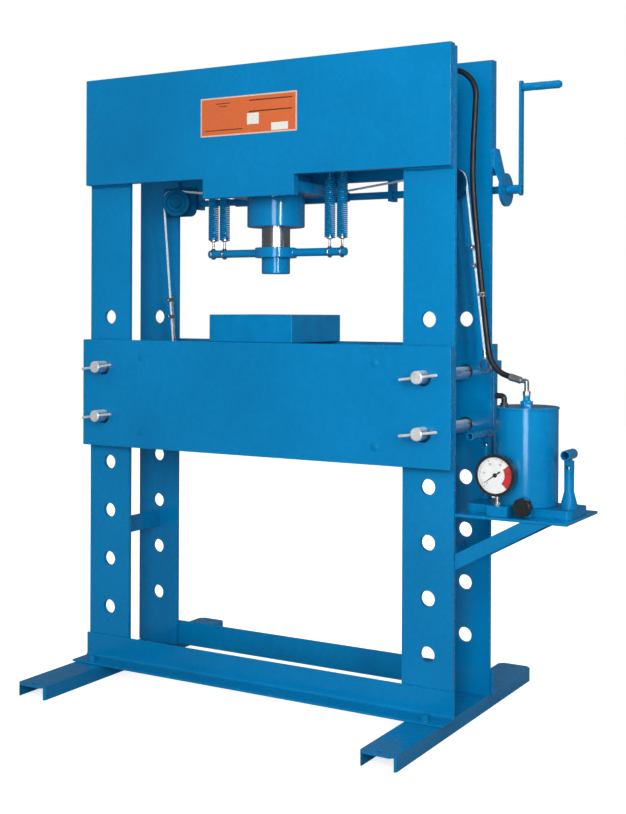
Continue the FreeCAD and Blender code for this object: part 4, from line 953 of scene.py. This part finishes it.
# ---- add-on ----------------------------------------------------------------------------------
class PressLook(bpy.types.PropertyGroup):
    """Sizes and colours of the press's visible pieces."""

    paint: FloatVectorProperty(name="Paint", description="Colour of the enamel", subtype="COLOR", size=3,
                               min=0.0, max=1.0, default=(0.0005, 0.205, 0.475))
    edge: FloatProperty(name="Edge rounding", description="Rounding of the plates' edges", unit="LENGTH",
                        min=0.0002, max=0.004, default=0.0013, precision=4)
    hose_radius: FloatProperty(name="Hose radius", description="Half the hose's outer diameter", unit="LENGTH",
                               min=0.004, max=0.012, default=0.008, precision=4)
    spring_turns: IntProperty(name="Spring turns", description="Turns of each return spring", min=6, max=36,
                              default=33)
    ambient: FloatProperty(name="Ambient light", description="Strength of the studio's even light", min=0.0,
                           max=3.0, default=0.52)


class Step:
    """What every operator of the press shares."""
    bl_options = {"REGISTER", "UNDO"}


class PRESS_OT_stage(Step, bpy.types.Operator):
    """Lays the floor, the lights and the camera"""
    bl_idname = "press.stage"
    bl_label = "Stage"

    def execute(self, context):
        build_stage()
        return {"FINISHED"}


class PRESS_OT_hose(Step, bpy.types.Operator):
    """Runs the pressure hose and its fittings"""
    bl_idname = "press.hose"
    bl_label = "Hose"

    def execute(self, context):
        build_hose()
        return {"FINISHED"}


class PRESS_OT_ropes(Step, bpy.types.Operator):
    """Lays the two wire ropes of the bed winch"""
    bl_idname = "press.ropes"
    bl_label = "Ropes"

    def execute(self, context):
        build_ropes()
        return {"FINISHED"}


class PRESS_OT_columns(Step, bpy.types.Operator):
    """Makes the four flat-bar columns and their spacers"""
    bl_idname = "press.columns"
    bl_label = "Columns"

    def execute(self, context):
        build_columns()
        return {"FINISHED"}


class PRESS_OT_base(Step, bpy.types.Operator):
    """Makes the channel feet, the angle sills and their bolts"""
    bl_idname = "press.base"
    bl_label = "Feet and sills"

    def execute(self, context):
        build_base()
        return {"FINISHED"}


class PRESS_OT_head(Step, bpy.types.Operator):
    """Makes the head plates, the cylinder's shelf and the spring hangers"""
    bl_idname = "press.head"
    bl_label = "Head"

    def execute(self, context):
        build_head()
        return {"FINISHED"}


class PRESS_OT_bed(Step, bpy.types.Operator):
    """Makes the bed plates, their ties, lugs and block"""
    bl_idname = "press.bed"
    bl_label = "Bed"

    def execute(self, context):
        build_bed()
        return {"FINISHED"}


class PRESS_OT_pins(Step, bpy.types.Operator):
    """Makes the four lock pins and their pull rods"""
    bl_idname = "press.pins"
    bl_label = "Lock pins"

    def execute(self, context):
        build_pins()
        return {"FINISHED"}


class PRESS_OT_ram(Step, bpy.types.Operator):
    """Makes the cylinder, rod, crossbar and tip"""
    bl_idname = "press.ram"
    bl_label = "Ram"

    def execute(self, context):
        build_ram()
        return {"FINISHED"}


class PRESS_OT_springs(Step, bpy.types.Operator):
    """Winds the four return springs and their hooks"""
    bl_idname = "press.springs"
    bl_label = "Return springs"

    def execute(self, context):
        build_springs()
        return {"FINISHED"}


class PRESS_OT_winch(Step, bpy.types.Operator):
    """Makes the winch shaft, bearings, crank and grip"""
    bl_idname = "press.winch"
    bl_label = "Winch"

    def execute(self, context):
        build_winch()
        return {"FINISHED"}


class PRESS_OT_pulleys(Step, bpy.types.Operator):
    """Makes the guide wheels and what carries them"""
    bl_idname = "press.pulleys"
    bl_label = "Rope wheels"

    def execute(self, context):
        build_pulleys()
        return {"FINISHED"}


class PRESS_OT_tray(Step, bpy.types.Operator):
    """Makes the pump's tray and braces"""
    bl_idname = "press.tray"
    bl_label = "Tray"

    def execute(self, context):
        build_tray()
        return {"FINISHED"}


class PRESS_OT_pump(Step, bpy.types.Operator):
    """Makes the pump base, tank, barrels and lever tubes"""
    bl_idname = "press.pump"
    bl_label = "Pump"

    def execute(self, context):
        build_pump()
        return {"FINISHED"}


class PRESS_OT_gauge(Step, bpy.types.Operator):
    """Makes the pressure gauge"""
    bl_idname = "press.gauge"
    bl_label = "Gauge"

    def execute(self, context):
        build_gauge()
        return {"FINISHED"}


class PRESS_OT_knob(Step, bpy.types.Operator):
    """Makes the release valve's knob"""
    bl_idname = "press.knob"
    bl_label = "Knob"

    def execute(self, context):
        build_knob()
        return {"FINISHED"}


class PRESS_OT_label(Step, bpy.types.Operator):
    """Makes the blank plate label on the head"""
    bl_idname = "press.label"
    bl_label = "Label"

    def execute(self, context):
        build_label()
        return {"FINISHED"}


class PRESS_OT_welds(Step, bpy.types.Operator):
    """Lays the weld beads"""
    bl_idname = "press.welds"
    bl_label = "Welds"

    def execute(self, context):
        build_welds()
        return {"FINISHED"}


OPERATORS = [
    PRESS_OT_stage, PRESS_OT_hose, PRESS_OT_ropes, PRESS_OT_columns, PRESS_OT_base, PRESS_OT_head,
    PRESS_OT_bed, PRESS_OT_pins, PRESS_OT_ram, PRESS_OT_springs, PRESS_OT_winch, PRESS_OT_pulleys,
    PRESS_OT_tray, PRESS_OT_pump, PRESS_OT_gauge, PRESS_OT_knob, PRESS_OT_label, PRESS_OT_welds,
]


class PRESS_PT_panel(bpy.types.Panel):
    """The press's sizes and the buttons that build it."""

    bl_idname = "PRESS_PT_panel"
    bl_label = "Workshop Press"
    bl_space_type = "VIEW_3D"
    bl_region_type = "UI"
    bl_category = "Press"

    def draw(self, context):
        settings = context.scene.press
        for name in ("paint", "edge", "hose_radius", "spring_turns", "ambient"):
            self.layout.prop(settings, name)
        for operator in OPERATORS:
            self.layout.operator(operator.bl_idname)


CLASSES = [PressLook, *OPERATORS, PRESS_PT_panel]


def register():
    for cls in CLASSES:
        bpy.utils.register_class(cls)
    bpy.types.Scene.press = PointerProperty(type=PressLook)


def unregister():
    del bpy.types.Scene.press
    for cls in reversed(CLASSES):
        bpy.utils.unregister_class(cls)


def main():
    register()
    for operator in OPERATORS:
        getattr(bpy.ops.press, operator.bl_idname.split(".")[1])()


if __name__ == "__main__":
    main()
